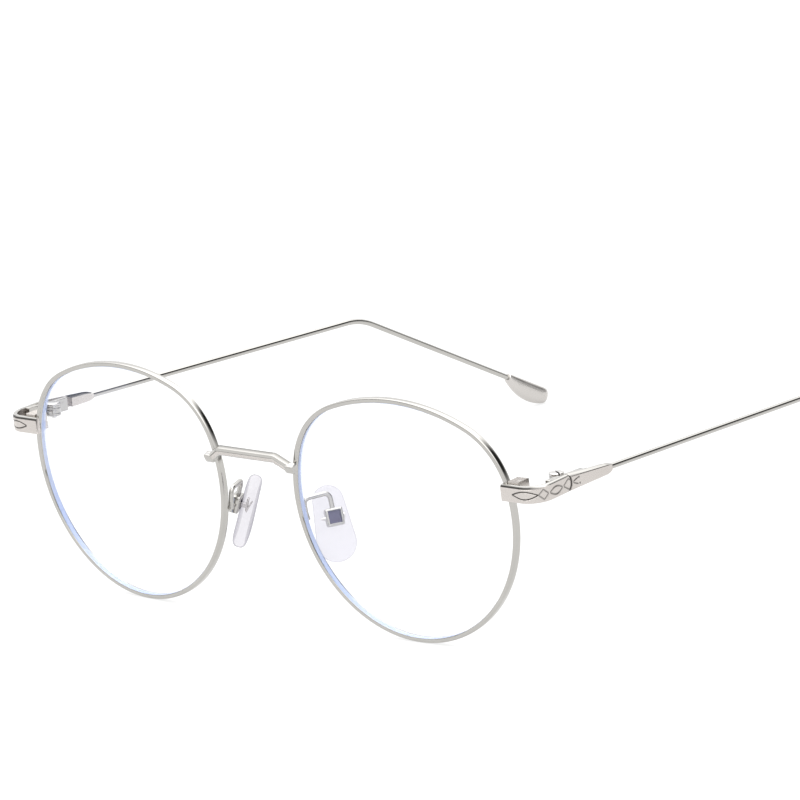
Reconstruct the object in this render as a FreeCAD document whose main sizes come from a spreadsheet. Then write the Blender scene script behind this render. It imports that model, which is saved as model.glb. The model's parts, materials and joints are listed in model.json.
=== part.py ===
import FreeCAD, Part

import math
import os
import re

import Sketcher

# Round wire spectacles: two rims with lenses, a brazed wire bridge, cast endpieces, three-knuckle
# hinges, wire temples with paddle tips, and silicone nose pads on gooseneck arms.
# Millimetres. +Z up, the front faces -Y, the temples run back along +Y, +X is the wearer's left.
# The left half is built; the right half is its mirror image.

Vector = FreeCAD.Vector
Placement = FreeCAD.Placement
Rotation = FreeCAD.Rotation
X_AXIS = Vector(1, 0, 0)
Y_AXIS = Vector(0, 1, 0)
Z_AXIS = Vector(0, 0, 1)

SIZES = {
    # Lens outline, seen square on (the bare lens inside the rim), and the way the fronts sit.
    "shoulder_width": 50.5,
    "lens_height": 45.2,
    "shoulder_roundness": 0.66,     # shoulder radius over half the smaller side
    "shoulder_lift": 0.25,          # shoulder centre above the lens centre, over half the height
    "nose_gap": 20.8,               # between the two bare lenses
    "lens_turn": 2.25,              # degrees, each outline turned outwards in its own plane
    "wrap_angle": 3.3,              # degrees, each front turned back towards its temple
    "rake_angle": 2.0,              # degrees, top of the front leaning forward when at rest
    # Rim wire and lens edge.
    "rim_width": 0.92,
    "rim_depth": 1.45,
    "rim_edge_round": 0.18,
    "bevel_height": 0.32,           # lens bevel standing into the rim groove
    "lens_clearance": 0.03,
    "lens_thickness": 1.5,
    "lens_curve": 130.0,            # radius of the lens's outer surface
    "split_gap": 0.14,              # saw cut that lets the rim open for the lens
    # Bridge.
    "bridge_height": 1.35,
    "bridge_depth": 1.55,
    "bridge_flat": 14.4,
    "bridge_run": 3.0,
    "bridge_drop": 2.0,
    "bridge_stub": 1.1,
    "bridge_lean": 22.0,            # degrees, the bridge's plane leaning forward
    "bridge_level": 8.35,
    "bridge_bend": 0.9,
    "bridge_edge_round": 0.3,
    "solder_gap": 0.02,
    # Endpiece: a bent plate from the rim's front face round to the hinge.
    "plate_height": 3.2,
    "plate_thickness": 0.95,
    "plate_level": 8.15,            # above the lens centre
    "plate_overhang": 0.35,         # over the rim's inner edge
    "plate_corner": 4.2,
    "endpiece_reach": 8.2,          # outer face beyond the bare lens
    "nose_radius": 1.9,             # rounded butt of the endpiece at the hinge
    # Hinge: its axis stands inboard of the outer face.
    "hinge_setback": 9.5,           # behind the lens plane
    "hinge_inset": 3.5,
    "knuckle_radius": 1.4,
    "knuckle_gap": 0.04,
    "barrel_height": 3.0,
    "middle_knuckle": 1.0,
    "leaf_length": 5.0,
    "leaf_height": 2.6,
    "hinge_play": 0.1,              # gap between the butting ends when open
    "hinge_pin_radius": 0.5,
    "pin_clearance": 0.04,
    "hinge_head_radius": 1.25,
    "hinge_head_height": 0.55,
    "slot_width": 0.28,
    "slot_depth": 0.25,
    # Closing blocks behind the endpiece, and the screw that holds the rim shut.
    "block_width": 2.2,
    "block_depth": 3.0,
    "upper_block_height": 1.9,
    "lower_block_height": 1.5,
    "rim_screw_radius": 0.45,
    "rim_screw_head_radius": 0.75,
    "rim_screw_head_height": 0.4,
    # Temple: flat bar at the hinge, round wire, paddle tip.
    "toe_angle": 2.5,               # degrees, temples closing in towards the back
    "temple_drop": 4.1,             # degrees, below square to the front
    "bar_length": 12.3,
    "bar_end_height": 2.0,
    "bar_thickness": 1.95,
    "bar_leaf_length": 6.2,
    "wire_radius": 0.55,
    "wire_seat": 4.0,               # length of wire inside the bar, and inside the tip
    "wire_inset": 0.85,             # wire axis behind the outer face
    "shank_length": 73.0,           # bar to the ear bend
    "ear_bend_radius": 15.0,
    "ear_bend_lean": 6.2,           # degrees, the drop leaning inwards
    "drop_length": 43.0,            # ear bend to the tip
    "tip_length": 12.0,
    "tip_top": 0.8,
    "tip_thickness": 2.2,
    "tip_end_radius": 1.7,
    "tip_belly_radius": 11.5,
    "tip_edge_round": 0.65,
    "tip_ferrule": 0.25,            # wall of the tip under the wire
    # Nose pads.
    "pad_length": 14.6,
    "pad_width": 7.6,
    "pad_top_width": 5.93,
    "pad_thickness": 2.4,
    "pad_edge_round": 1.0,
    "pad_side_gap": 11.15,          # pad centre from the middle plane
    "pad_setback": 5.05,
    "pad_level": -4.95,
    "pad_splay": 30.0,              # degrees, pad faces turned back from the middle plane
    "pad_flare": 17.8,              # degrees, pads wider apart at the bottom
    "pad_rake": 11.0,               # degrees, tops of the pads leaning back
    "pad_arm_radius": 0.42,
    "pad_arm_bend": 0.9,
    "arm_run": 3.0,                 # straight run of the arm above the box
    "arm_foot_lift": 2.2,           # arm's foot on the rim, above the pad's centre
    "arm_knee_level": 1.2,          # top of the arm's first run, above the lens centre
    "arm_knee_inset": 0.5,          # knee towards the nose from the foot
    "arm_knee_setback": 0.35,       # knee behind the foot
    "box_width": 3.2,
    "box_height": 3.4,
    "box_depth": 1.9,
    "box_wall": 0.55,
    "box_lift": 1.0,                # box above the pad's centre
    "box_gap": 0.3,                 # between the pad's back and the box
    "tongue_clearance": 0.12,
    "insert_height": 4.08,
    "insert_thickness": 0.72,
    "pad_screw_radius": 0.38,
    "pad_screw_tail": 0.55,         # screw's point beyond the box
    "pad_screw_head_radius": 0.68,
    "pad_screw_head_height": 0.4,
}

NEAR = 1e-4                         # edges this close to a face lie on it
MIRRORED_SUFFIX = "_right"
BUILT_SUFFIX = "_left"
HALVINGS = 40                       # steps of the search for the ear bend


def make_sheet(doc):
    """Write the driving dimensions into a spreadsheet, one alias per row."""
    sheet = doc.addObject("Spreadsheet::Sheet", "Sizes")
    for row, (alias, value) in enumerate(SIZES.items(), start=1):
        sheet.set("A%d" % row, alias)
        sheet.set("B%d" % row, str(value))
        sheet.setAlias("B%d" % row, alias)
    doc.recompute()
    return sheet


DOC = FreeCAD.newDocument("Spectacles")
SHEET = make_sheet(DOC)


def size(alias):
    """Value of one driving dimension."""
    return float(SHEET.get(alias))


# ---------------------------------------------------------------- sketches and features

def on_sheet(formula):
    """Point every dimension named in a formula at the spreadsheet."""
    return re.sub(r"[a-z]+(?:_[a-z]+)+", "Sizes.\\g<0>", formula)


def origin_plane(body, role):
    """One of the body's own origin planes."""
    return [item for item in body.Origin.OriginFeatures if item.Role == role][0]


def new_sketch(body, name, role, offset=None):
    """Sketch on one of the body's own planes, moved along its normal by a formula."""
    sketch = body.newObject("Sketcher::SketchObject", name)
    sketch.AttachmentSupport = (origin_plane(body, role), "")
    sketch.MapMode = "FlatFace"
    if offset:
        sketch.setExpression("AttachmentOffset.Base.z", on_sheet(offset))
    return sketch


def dimension(sketch, constraint, formula):
    """Add one constraint to a sketch and tie its value to a formula."""
    index = sketch.addConstraint(constraint)
    sketch.setExpression("Constraints[%d]" % index, on_sheet(formula))


def pin_point(sketch, geometry, position, x, y, start=(1.0, 1.0)):
    """Hold one point of a sketch at coordinates given as formulas."""
    dimension(sketch, Sketcher.Constraint("DistanceX", geometry, position, start[0]), x)
    dimension(sketch, Sketcher.Constraint("DistanceY", geometry, position, start[1]), y)


def polygon(sketch, corners):
    """Closed outline of straight sides through corners given as pairs of formulas."""
    count = len(corners)
    turn = 2 * math.pi / count
    start = [Vector(math.cos(turn * i), math.sin(turn * i), 0) for i in range(count)]
    for i in range(count):
        sketch.addGeometry(Part.LineSegment(start[i], start[(i + 1) % count]))
    for i in range(count):
        sketch.addConstraint(Sketcher.Constraint("Coincident", i, 2, (i + 1) % count, 1))
    for i, (x, y) in enumerate(corners):
        pin_point(sketch, i, 1, x, y)
    return sketch


def circle(sketch, x, y, radius):
    """Circle whose centre and radius are formulas."""
    index = sketch.addGeometry(Part.Circle(Vector(0, 0, 0), Z_AXIS, 1.0))
    pin_point(sketch, index, 3, x, y)
    dimension(sketch, Sketcher.Constraint("Radius", index, 1.0), radius)
    return sketch


def pad(body, name, sketch, length, midplane=False):
    """Extrude a sketch by a formula."""
    feature = body.newObject("PartDesign::Pad", name)
    feature.Profile = sketch
    feature.Midplane = midplane
    feature.setExpression("Length", on_sheet(length))
    DOC.recompute()
    return feature


def pipe(body, name, section, spine):
    """Carry a section along all the edges of a path sketch."""
    feature = body.newObject("PartDesign::AdditivePipe", name)
    feature.Profile = section
    feature.Spine = (spine, ["Edge%d" % (i + 1) for i in range(len(spine.Geometry))])
    DOC.recompute()
    return feature


def fillet(body, name, radius, wanted):
    """Round the edges of the body's latest feature that a test picks out."""
    base = body.Tip
    names = ["Edge%d" % (i + 1) for i, edge in enumerate(base.Shape.Edges) if wanted(edge)]
    feature = body.newObject("PartDesign::Fillet", name)
    feature.Base = (base, names)
    feature.setExpression("Radius", on_sheet(radius))
    DOC.recompute()
    return feature


def part_object(kind, name, **formulas):
    """Part primitive whose sizes are formulas."""
    item = DOC.addObject(kind, name)
    for prop, formula in formulas.items():
        item.setExpression(prop, on_sheet(formula))
    return item


def box(name, x, y, z):
    """Box spanning the low and high formulas given for each axis."""
    item = DOC.addObject("Part::Box", name)
    for prop, axis, (low, high) in (("Length", "x", x), ("Width", "y", y), ("Height", "z", z)):
        item.setExpression(prop, on_sheet("(%s) - (%s)" % (high, low)))
        item.setExpression("Placement.Base.%s" % axis, on_sheet(low))
    return item


def cylinder_z(name, radius, low, high, x="0", y="0"):
    """Upright cylinder between two heights."""
    item = part_object("Part::Cylinder", name, Radius=radius, Height="(%s) - (%s)" % (high, low))
    for axis, formula in (("x", x), ("y", y), ("z", low)):
        item.setExpression("Placement.Base.%s" % axis, on_sheet(formula))
    return item


def cylinder_x(name, radius, low, high, y="0", z="0"):
    """Cylinder lying along X between two places."""
    item = part_object("Part::Cylinder", name, Radius=radius, Height="(%s) - (%s)" % (high, low))
    item.Placement = Placement(Vector(0, 0, 0), Rotation(Y_AXIS, 90))
    for axis, formula in (("x", low), ("y", y), ("z", z)):
        item.setExpression("Placement.Base.%s" % axis, on_sheet(formula))
    return item


def fuse(name, *shapes):
    """Join several pieces into one."""
    item = DOC.addObject("Part::MultiFuse", name)
    item.Shapes = list(shapes)
    return item


def cut(name, base, tool):
    """Take one piece out of another."""
    item = DOC.addObject("Part::Cut", name)
    item.Base = base
    item.Tool = tool
    return item


def common(name, *shapes):
    """Keep what several pieces share."""
    item = DOC.addObject("Part::MultiCommon", name)
    item.Shapes = list(shapes)
    return item


# ---------------------------------------------------------------- where things stand

def lens_offset():
    """Lens centre from the middle plane."""
    return (size("shoulder_width") + size("nose_gap")) / 2


def front_place():
    """The whole front, leaning forward."""
    return Placement(Vector(0, 0, 0), Rotation(X_AXIS, size("rake_angle")))


def lens_place():
    """One lens: its centre at the origin, local X outwards, local -Y forwards."""
    wrapped = Placement(Vector(lens_offset(), 0, 0), Rotation(Z_AXIS, size("wrap_angle")))
    return front_place() * wrapped


def rim_corner():
    """Front of the rim at the outer side of the bare lens, in the front's own axes."""
    wrap = math.radians(size("wrap_angle"))
    half = size("shoulder_width") / 2
    depth = size("rim_depth") / 2
    x = lens_offset() + half * math.cos(wrap) + depth * math.sin(wrap)
    y = half * math.sin(wrap) - depth * math.cos(wrap)
    return Vector(x, y, size("plate_level"))


def endpiece_place():
    """The endpiece: its origin on the rim's front face, local X outwards."""
    return front_place() * Placement(rim_corner(), Rotation())


def hinge_place():
    """The hinge: its axis is local Z, local Y runs back along the temple, local X outwards."""
    outer = rim_corner().x + size("endpiece_reach")
    axis = Vector(outer - size("hinge_inset"), size("hinge_setback"), size("plate_level"))
    turn = Rotation(Z_AXIS, size("toe_angle")) * Rotation(X_AXIS, -size("temple_drop"))
    return front_place() * Placement(axis, turn)


def wire_place():
    """The temple wire: it runs along local Y and drops in the local YZ plane."""
    inset = Placement(Vector(size("hinge_inset") - size("wire_inset"), 0, 0), Rotation())
    lean = Placement(Vector(0, 0, 0), Rotation(Y_AXIS, size("ear_bend_lean")))
    return hinge_place() * inset * lean


def pad_place():
    """The nose pad: local Y faces the nose, local Z runs up the pad."""
    centre = Vector(size("pad_side_gap"), size("pad_setback"), size("pad_level"))
    flare = Rotation(Y_AXIS, -size("pad_flare"))
    rake = Rotation(X_AXIS, -size("pad_rake"))
    splay = Rotation(Z_AXIS, 90 - size("pad_splay"))
    return front_place() * Placement(centre, flare * rake * splay)


# ---------------------------------------------------------------- rims and lenses

def outline_arcs():
    """Centres, radii and end angles of the bare lens outline, starting at its top."""
    half_width = size("shoulder_width") / 2
    half_height = size("lens_height") / 2
    shoulder = size("shoulder_roundness") * min(half_width, half_height)
    x = half_width - shoulder
    z = size("shoulder_lift") * half_height
    up = half_height - z
    down = half_height + z
    top = (x * x + up * up - shoulder * shoulder) / (2 * (up - shoulder))
    bottom = (x * x + down * down - shoulder * shoulder) / (2 * (down - shoulder))
    top_turn = math.atan2(z - half_height + top, x)
    bottom_turn = math.atan2(z + half_height - bottom, x)
    quarter = math.pi / 2
    straight = math.pi
    return [
        (0, half_height - top, top, quarter, straight - top_turn),
        (-x, z, shoulder, straight - top_turn, straight - bottom_turn),
        (0, bottom - half_height, bottom, straight - bottom_turn, 2 * straight + bottom_turn),
        (x, z, shoulder, bottom_turn, top_turn),
        (0, half_height - top, top, top_turn, quarter),
    ]


def outline(sketch, growth=0.0):
    """Draw the lens outline, grown outwards by a distance."""
    arcs = outline_arcs()
    for x, z, radius, start, end in arcs:
        whole = Part.Circle(Vector(x, z, 0), Z_AXIS, radius + growth)
        sketch.addGeometry(Part.ArcOfCircle(whole, start, end))
    count = len(sketch.Geometry)
    for i in range(count):
        sketch.addConstraint(Sketcher.Constraint("Coincident", i, 2, (i + 1) % count, 1))
    shoulder = "shoulder_roundness * min(shoulder_width; lens_height) / 2"
    lift = "shoulder_lift * lens_height / 2"
    for i, sign in ((1, "-"), (3, "")):
        reach = "%s(shoulder_width / 2 - %s)" % (sign, shoulder)
        radius = Sketcher.Constraint("Radius", i, arcs[i][2] + growth)
        dimension(sketch, radius, "%s + %.6f" % (shoulder, growth))
        pin_point(sketch, i, 3, reach, lift, arcs[i][:2])
    return sketch


def rim():
    """Eyewire: a flat wire with a groove inside, bent to the lens and sawn through once."""
    body = DOC.addObject("PartDesign::Body", "RimBlank")
    path = outline(new_sketch(body, "RimPath", "XZ_Plane"))
    section = new_sketch(body, "RimSection", "YZ_Plane")
    inner = "lens_height / 2"
    outer = "lens_height / 2 + rim_width"
    groove = "bevel_height + lens_clearance"
    polygon(section, [
        ("-rim_depth / 2 + rim_edge_round", outer),
        ("-rim_depth / 2", "%s - rim_edge_round" % outer),
        ("-rim_depth / 2", "%s + rim_edge_round / 2" % inner),
        ("-rim_depth / 2 + rim_edge_round / 2", inner),
        ("-(%s)" % groove, inner),
        ("0", "%s + %s" % (inner, groove)),
        (groove, inner),
        ("rim_depth / 2 - rim_edge_round / 2", inner),
        ("rim_depth / 2", "%s + rim_edge_round / 2" % inner),
        ("rim_depth / 2", "%s - rim_edge_round" % outer),
        ("rim_depth / 2 - rim_edge_round", outer),
    ])
    pipe(body, "RimWire", section, path)
    body.Placement = Placement(Vector(0, 0, 0), Rotation(Y_AXIS, size("lens_turn")))
    saw = box("RimSaw", ("shoulder_width / 3", "shoulder_width / 2 + 2 * rim_width"),
              ("-rim_depth", "rim_depth"),
              ("plate_level - split_gap / 2", "plate_level + split_gap / 2"))
    return finish("rim", cut("Rim", body, saw), lens_place())


def lens():
    """Lens: a curved disc cut to the outline, with a bevel round its edge."""
    slack = -size("lens_clearance")
    body = DOC.addObject("PartDesign::Body", "LensBlank")
    pad(body, "LensPrism", outline(new_sketch(body, "LensOutline", "XZ_Plane"), slack),
        "6 * lens_thickness", midplane=True)
    path = outline(new_sketch(body, "BevelPath", "XZ_Plane"))
    section = new_sketch(body, "BevelSection", "YZ_Plane")
    foot = "lens_height / 2 - 2 * lens_clearance"
    polygon(section, [
        ("-bevel_height - lens_clearance", foot),
        ("bevel_height + lens_clearance", foot),
        ("0", "lens_height / 2 + bevel_height - lens_clearance"),
    ])
    pipe(body, "LensBevel", section, path)
    body.Placement = Placement(Vector(0, 0, 0), Rotation(Y_AXIS, size("lens_turn")))
    ball = part_object("Part::Sphere", "LensOuterBall", Radius="lens_curve")
    hollow = part_object("Part::Sphere", "LensInnerBall", Radius="lens_curve - lens_thickness")
    middle = size("lens_curve") - size("lens_thickness") / 2
    edge = (size("shoulder_width") + size("lens_height")) / 4
    centre = Placement(Vector(0, math.sqrt(middle * middle - edge * edge), 0), Rotation(X_AXIS, 90))
    ball.Placement = centre
    hollow.Placement = centre
    return finish("lens", common("Lens", body, cut("LensShell", ball, hollow)), lens_place())


# ---------------------------------------------------------------- bridge

def bridge():
    """Bridge: a bar that lies on both rims, cranked up and forward between them."""
    body = DOC.addObject("PartDesign::Body", "Bridge")
    path = new_sketch(body, "BridgePath", "XZ_Plane")
    flat = size("bridge_flat") / 2
    stub = flat + size("bridge_run")
    end = stub + size("bridge_stub")
    drop = -size("bridge_drop")
    points = [Vector(-end, drop, 0), Vector(-stub, drop, 0), Vector(-flat, 0, 0),
              Vector(flat, 0, 0), Vector(stub, drop, 0), Vector(end, drop, 0)]
    for curve in rounded_path(points, size("bridge_bend")):
        path.addGeometry(curve)
    section = new_sketch(body, "BridgeSection", "YZ_Plane",
                         "-(bridge_flat / 2 + bridge_run + bridge_stub)")
    low = "-bridge_drop - bridge_height / 2"
    high = "-bridge_drop + bridge_height / 2"
    polygon(section, [
        ("-bridge_depth / 2", "%s + bridge_edge_round" % low),
        ("-bridge_depth / 2 + bridge_edge_round", low),
        ("bridge_depth / 2 - bridge_edge_round", low),
        ("bridge_depth / 2", "%s + bridge_edge_round" % low),
        ("bridge_depth / 2", "%s - bridge_edge_round" % high),
        ("bridge_depth / 2 - bridge_edge_round", high),
        ("-bridge_depth / 2 + bridge_edge_round", high),
        ("-bridge_depth / 2", "%s - bridge_edge_round" % high),
    ])
    pipe(body, "BridgeBar", section, path)
    lean = Rotation(X_AXIS, size("bridge_lean"))
    seat = nasal_front() - size("bridge_depth") / 2 / math.cos(math.radians(size("bridge_lean")))
    foot = Vector(0, seat - size("solder_gap"), size("bridge_level"))
    lift = Vector(0, 0, size("bridge_drop"))
    body.Placement = front_place() * Placement(foot, lean) * Placement(lift, Rotation())
    body.Label = "bridge"
    return body


def nasal_front():
    """How far forward the rims' front faces stand beside the nose."""
    wrap = math.radians(size("wrap_angle"))
    half = size("shoulder_width") / 2 + size("rim_width")
    return -half * math.sin(wrap) - size("rim_depth") / 2 * math.cos(wrap)


def rounded_path(points, radius):
    """Straight runs through the points, each inner corner rounded by a tangent arc."""
    curves = []
    start = points[0]
    for before, corner, after in zip(points, points[1:], points[2:]):
        towards = (corner - before).normalize()
        onwards = (after - corner).normalize()
        turn = towards.getAngle(onwards)
        setback = radius * math.tan(turn / 2)
        entry = corner - towards * setback
        leave = corner + onwards * setback
        bulge = (onwards - towards).normalize()
        middle = corner + bulge * (radius / math.cos(turn / 2) - radius)
        curves.append(Part.LineSegment(start, entry))
        curves.append(Part.Arc(entry, middle, leave))
        start = leave
    curves.append(Part.LineSegment(start, points[-1]))
    return curves


# ---------------------------------------------------------------- endpiece and closing blocks

def endpiece():
    """Endpiece: a plate on the rim's front, bent back to a rounded butt at the hinge."""
    body = DOC.addObject("PartDesign::Body", "EndpieceBlank")
    plan = new_sketch(body, "EndpiecePlan", "XY_Plane")
    back = size("hinge_setback") - rim_corner().y
    toe = math.tan(math.radians(size("toe_angle")))
    front = "-plate_thickness - solder_gap"
    corner = "endpiece_reach + %.6f" % (toe * (back + size("plate_thickness")))
    beyond = "endpiece_reach - %.6f" % (toe * back)
    polygon(plan, [
        ("-plate_overhang", front),
        (corner, front),
        (beyond, "%.6f" % (2 * back)),
        ("%s - plate_thickness" % beyond, "%.6f" % (2 * back)),
        ("%s - plate_thickness" % corner, "-solder_gap"),
        ("-plate_overhang", "-solder_gap"),
    ])
    pad(body, "EndpiecePlate", plan, "plate_height", midplane=True)
    outer_y = -size("plate_thickness") - size("solder_gap")
    fillet(body, "EndpieceOuterBend", "plate_corner",
           lambda edge: upright(edge) and edge.CenterOfMass.x > 0
           and abs(edge.CenterOfMass.y - outer_y) < NEAR)
    fillet(body, "EndpieceInnerBend", "plate_corner - plate_thickness",
           lambda edge: upright(edge) and edge.CenterOfMass.x > 0
           and abs(edge.CenterOfMass.y + size("solder_gap")) < NEAR)
    reach = "3 * barrel_height"
    block = box("ButtBlock", ("-(%s)" % reach, reach), ("-nose_radius", "2 * hinge_setback"),
                ("-(%s)" % reach, reach))
    nose = cylinder_x("ButtNose", "nose_radius", "-2 * (%s)" % reach, "2 * (%s)" % reach,
                      y="-nose_radius - hinge_play / 2")
    cutter = cut("ButtCutter", block, nose)
    cutter.Placement = endpiece_place().inverse() * hinge_place()
    return finish("endpiece", cut("Endpiece", body, cutter), endpiece_place())


def upright(edge):
    """Whether an edge is a straight line along Z."""
    ends = [vertex.Point for vertex in edge.Vertexes]
    if len(ends) != 2:
        return False
    span = ends[1] - ends[0]
    return abs(span.x) < NEAR and abs(span.y) < NEAR


def block_span():
    """Inner side of the closing blocks from the lens centre, just clear of the turned rim."""
    return "shoulder_width / 2 + rim_width + plate_level * sin(lens_turn) + solder_gap"


def closing_block(name, low, high):
    """One of the two blocks brazed to the sawn ends of the rim, bored for the rim screw."""
    inner = block_span()
    block = box(name + "Stock", (inner, "%s + block_width" % inner),
                ("-rim_depth / 2 + solder_gap", "block_depth - rim_depth / 2"), (low, high))
    bore = cylinder_z(name + "Bore", "rim_screw_radius + pin_clearance",
                      "%s - block_depth" % low, "%s + block_depth" % high,
                      x="%s + block_width / 2" % inner, y="(block_depth - rim_depth) / 2")
    return finish("closing_block_%s" % name.lower(), cut("Block" + name, block, bore), lens_place())


def closing_blocks():
    """The upper and lower closing blocks, parted by the rim's saw cut."""
    upper = closing_block("Upper", "plate_level + split_gap / 2",
                          "plate_level + split_gap / 2 + upper_block_height")
    lower = closing_block("Lower", "plate_level - split_gap / 2 - lower_block_height",
                          "plate_level - split_gap / 2")
    return [upper, lower]


def slotted_screw(name, shaft, head, head_height, low, high, x="0", y="0"):
    """Screw standing along Z: a shaft under a slotted head."""
    stem = cylinder_z(name + "Stem", shaft, low, high, x, y)
    cap = cylinder_z(name + "Cap", head, high, "%s + %s" % (high, head_height), x, y)
    slot = box(name + "Slot", ("%s - 2 * %s" % (x, head), "%s + 2 * %s" % (x, head)),
               ("%s - slot_width / 2" % y, "%s + slot_width / 2" % y),
               ("%s + %s - slot_depth" % (high, head_height), "%s + 2 * %s" % (high, head_height)))
    return cut(name, fuse(name + "Solid", stem, cap), slot)


def rim_screw():
    """Screw that draws the two closing blocks together."""
    screw = slotted_screw("RimScrew", "rim_screw_radius", "rim_screw_head_radius",
                          "rim_screw_head_height",
                          "plate_level - split_gap / 2 - lower_block_height",
                          "plate_level + split_gap / 2 + upper_block_height + solder_gap",
                          x="(%s + block_width / 2)" % block_span(),
                          y="((block_depth - rim_depth) / 2)")
    return finish("rim_screw", screw, lens_place())


# ---------------------------------------------------------------- hinge

LEAF_BACK = "hinge_inset - plate_thickness - solder_gap"
LEAF_FACE = "knuckle_radius + knuckle_gap"


def hinge_front():
    """Fixed hinge half: two knuckles and a leaf brazed inside the endpiece."""
    half = "barrel_height / 2"
    middle = "middle_knuckle / 2 + knuckle_gap"
    leaf = box("FrontLeaf", (LEAF_FACE, LEAF_BACK), ("-leaf_length", "-hinge_play"),
               ("-leaf_height / 2", "leaf_height / 2"))
    pieces = [leaf]
    for name, low, high in (("Lower", "-(%s)" % half, "-(%s)" % middle), ("Upper", middle, half)):
        pieces.append(cylinder_z("Front%sKnuckle" % name, "knuckle_radius", low, high))
        pieces.append(box("Front%sWeb" % name, ("0", LEAF_BACK), ("-knuckle_radius", "-hinge_play"),
                          (low, high)))
    bore = cylinder_z("FrontBore", "hinge_pin_radius + pin_clearance", "-barrel_height",
                      "barrel_height")
    return finish("hinge_front", cut("HingeFront", fuse("HingeFrontSolid", *pieces), bore),
                  hinge_place())


def hinge_rear():
    """Moving hinge half: one knuckle and a leaf let into the temple bar."""
    half = "middle_knuckle / 2"
    leaf = box("RearLeaf", (LEAF_FACE, LEAF_BACK), ("hinge_play", "leaf_length"),
               ("-leaf_height / 2", "leaf_height / 2"))
    knuckle = cylinder_z("RearKnuckle", "knuckle_radius", "-(%s)" % half, half)
    web = box("RearWeb", ("0", LEAF_BACK), ("hinge_play", "knuckle_radius"), ("-(%s)" % half, half))
    bore = cylinder_z("RearBore", "hinge_pin_radius + pin_clearance", "-barrel_height",
                      "barrel_height")
    return finish("hinge_rear", cut("HingeRear", fuse("HingeRearSolid", leaf, knuckle, web), bore),
                  hinge_place())


def hinge_screw():
    """Hinge screw: its shaft is the hinge's axle."""
    screw = slotted_screw("HingeScrew", "hinge_pin_radius", "hinge_head_radius",
                          "hinge_head_height", "-barrel_height / 2",
                          "barrel_height / 2 + solder_gap")
    return finish("hinge_screw", screw, hinge_place())


# ---------------------------------------------------------------- temple

def temple_bar():
    """Temple bar: it butts on the endpiece, tapers back and holds the wire."""
    body = DOC.addObject("PartDesign::Body", "BarBlank")
    side = new_sketch(body, "BarSide", "YZ_Plane", "hinge_inset - bar_thickness")
    front = "-nose_radius"
    polygon(side, [
        (front, "-plate_height / 2"),
        ("0", "-plate_height / 2"),
        ("bar_length - bar_end_height / 2", "-bar_end_height / 2"),
        ("bar_length", "-bar_end_height / 4"),
        ("bar_length", "bar_end_height / 4"),
        ("bar_length - bar_end_height / 2", "bar_end_height / 2"),
        ("0", "plate_height / 2"),
        (front, "plate_height / 2"),
    ])
    pad(body, "BarStock", side, "bar_thickness")
    rebate = box("BarRebate", ("0", "hinge_inset - plate_thickness"),
                 ("-2 * nose_radius", "bar_leaf_length"), ("-plate_height", "plate_height"))
    nose = cylinder_x("BarNose", "nose_radius + hinge_play", "-hinge_inset", "2 * hinge_inset",
                      y="-nose_radius - hinge_play / 2")
    bore = part_object("Part::Cylinder", "BarBore", Radius="wire_radius + solder_gap",
                       Height="2 * wire_seat")
    bore.Placement = Placement(Vector(0, 0, 0), Rotation(X_AXIS, -90))
    bore.setExpression("Placement.Base.x", on_sheet("hinge_inset - wire_inset"))
    bore.setExpression("Placement.Base.y", on_sheet("bar_length - wire_seat"))
    return finish("temple_bar", cut("TempleBar", body, fuse("BarCuts", rebate, nose, bore)),
                  hinge_place())


def bend_corner():
    """Where the wire's two straight runs would meet, along the wire from the hinge axis."""
    return size("bar_length") + size("shank_length")


def tip_outline(sketch):
    """Side of the paddle: flat top, round end, long belly."""
    length = size("tip_length")
    top = size("tip_top")
    end = size("tip_end_radius")
    belly = size("tip_belly_radius")
    end_centre = Vector(length - end, top - end, 0)
    foot = Vector(0, -size("wire_radius") - size("tip_ferrule"), 0)
    span = end_centre - foot
    # The belly's centre is belly from the foot and (belly - end) from the end's centre.
    from_end = ((belly - end) ** 2 - belly ** 2 + span.Length ** 2) / (2 * span.Length)
    from_foot = span.Length - from_end
    rise = math.sqrt(belly * belly - from_foot * from_foot)
    unit = Vector(span).normalize()
    centre = foot + unit * from_foot + Vector(-unit.y, unit.x, 0) * rise
    touch = centre + (end_centre - centre).normalize() * belly
    deepest = centre + (foot - centre + touch - centre).normalize() * belly
    start = Vector(0, top, 0)
    corner = Vector(length - end, top, 0)
    nose = end_centre + (corner - end_centre + touch - end_centre).normalize() * end
    sketch.addGeometry(Part.Arc(foot, deepest, touch))
    sketch.addGeometry(Part.Arc(touch, nose, corner))
    sketch.addGeometry(Part.LineSegment(corner, start))
    sketch.addGeometry(Part.LineSegment(start, foot))
    for i in range(4):
        sketch.addConstraint(Sketcher.Constraint("Coincident", i, 2, (i + 1) % 4, 1))
    return sketch


def tip_blank():
    """Paddle tip, drawn along local Y from where the wire enters it."""
    body = DOC.addObject("PartDesign::Body", "TipBlank")
    side = tip_outline(new_sketch(body, "TipSide", "YZ_Plane"))
    pad(body, "TipStock", side, "tip_thickness", midplane=True)
    flank = size("tip_thickness") / 2
    fillet(body, "TipRounding", "tip_edge_round",
           lambda edge: abs(abs(edge.CenterOfMass.x) - flank) < NEAR
           and edge.CenterOfMass.y > NEAR)
    bore = part_object("Part::Cylinder", "TipBore", Radius="wire_radius + solder_gap",
                       Height="2 * wire_seat")
    bore.Placement = Placement(Vector(0, 0, 0), Rotation(X_AXIS, -90))
    bore.setExpression("Placement.Base.y", on_sheet("-wire_seat"))
    return cut("TempleTip", body, bore)


def tip_place(bend):
    """The tip, with the wire bent down by an angle in degrees."""
    corner = Placement(Vector(0, bend_corner(), 0), Rotation(X_AXIS, -bend))
    return wire_place() * corner * Placement(Vector(0, size("drop_length"), 0), Rotation())


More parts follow.
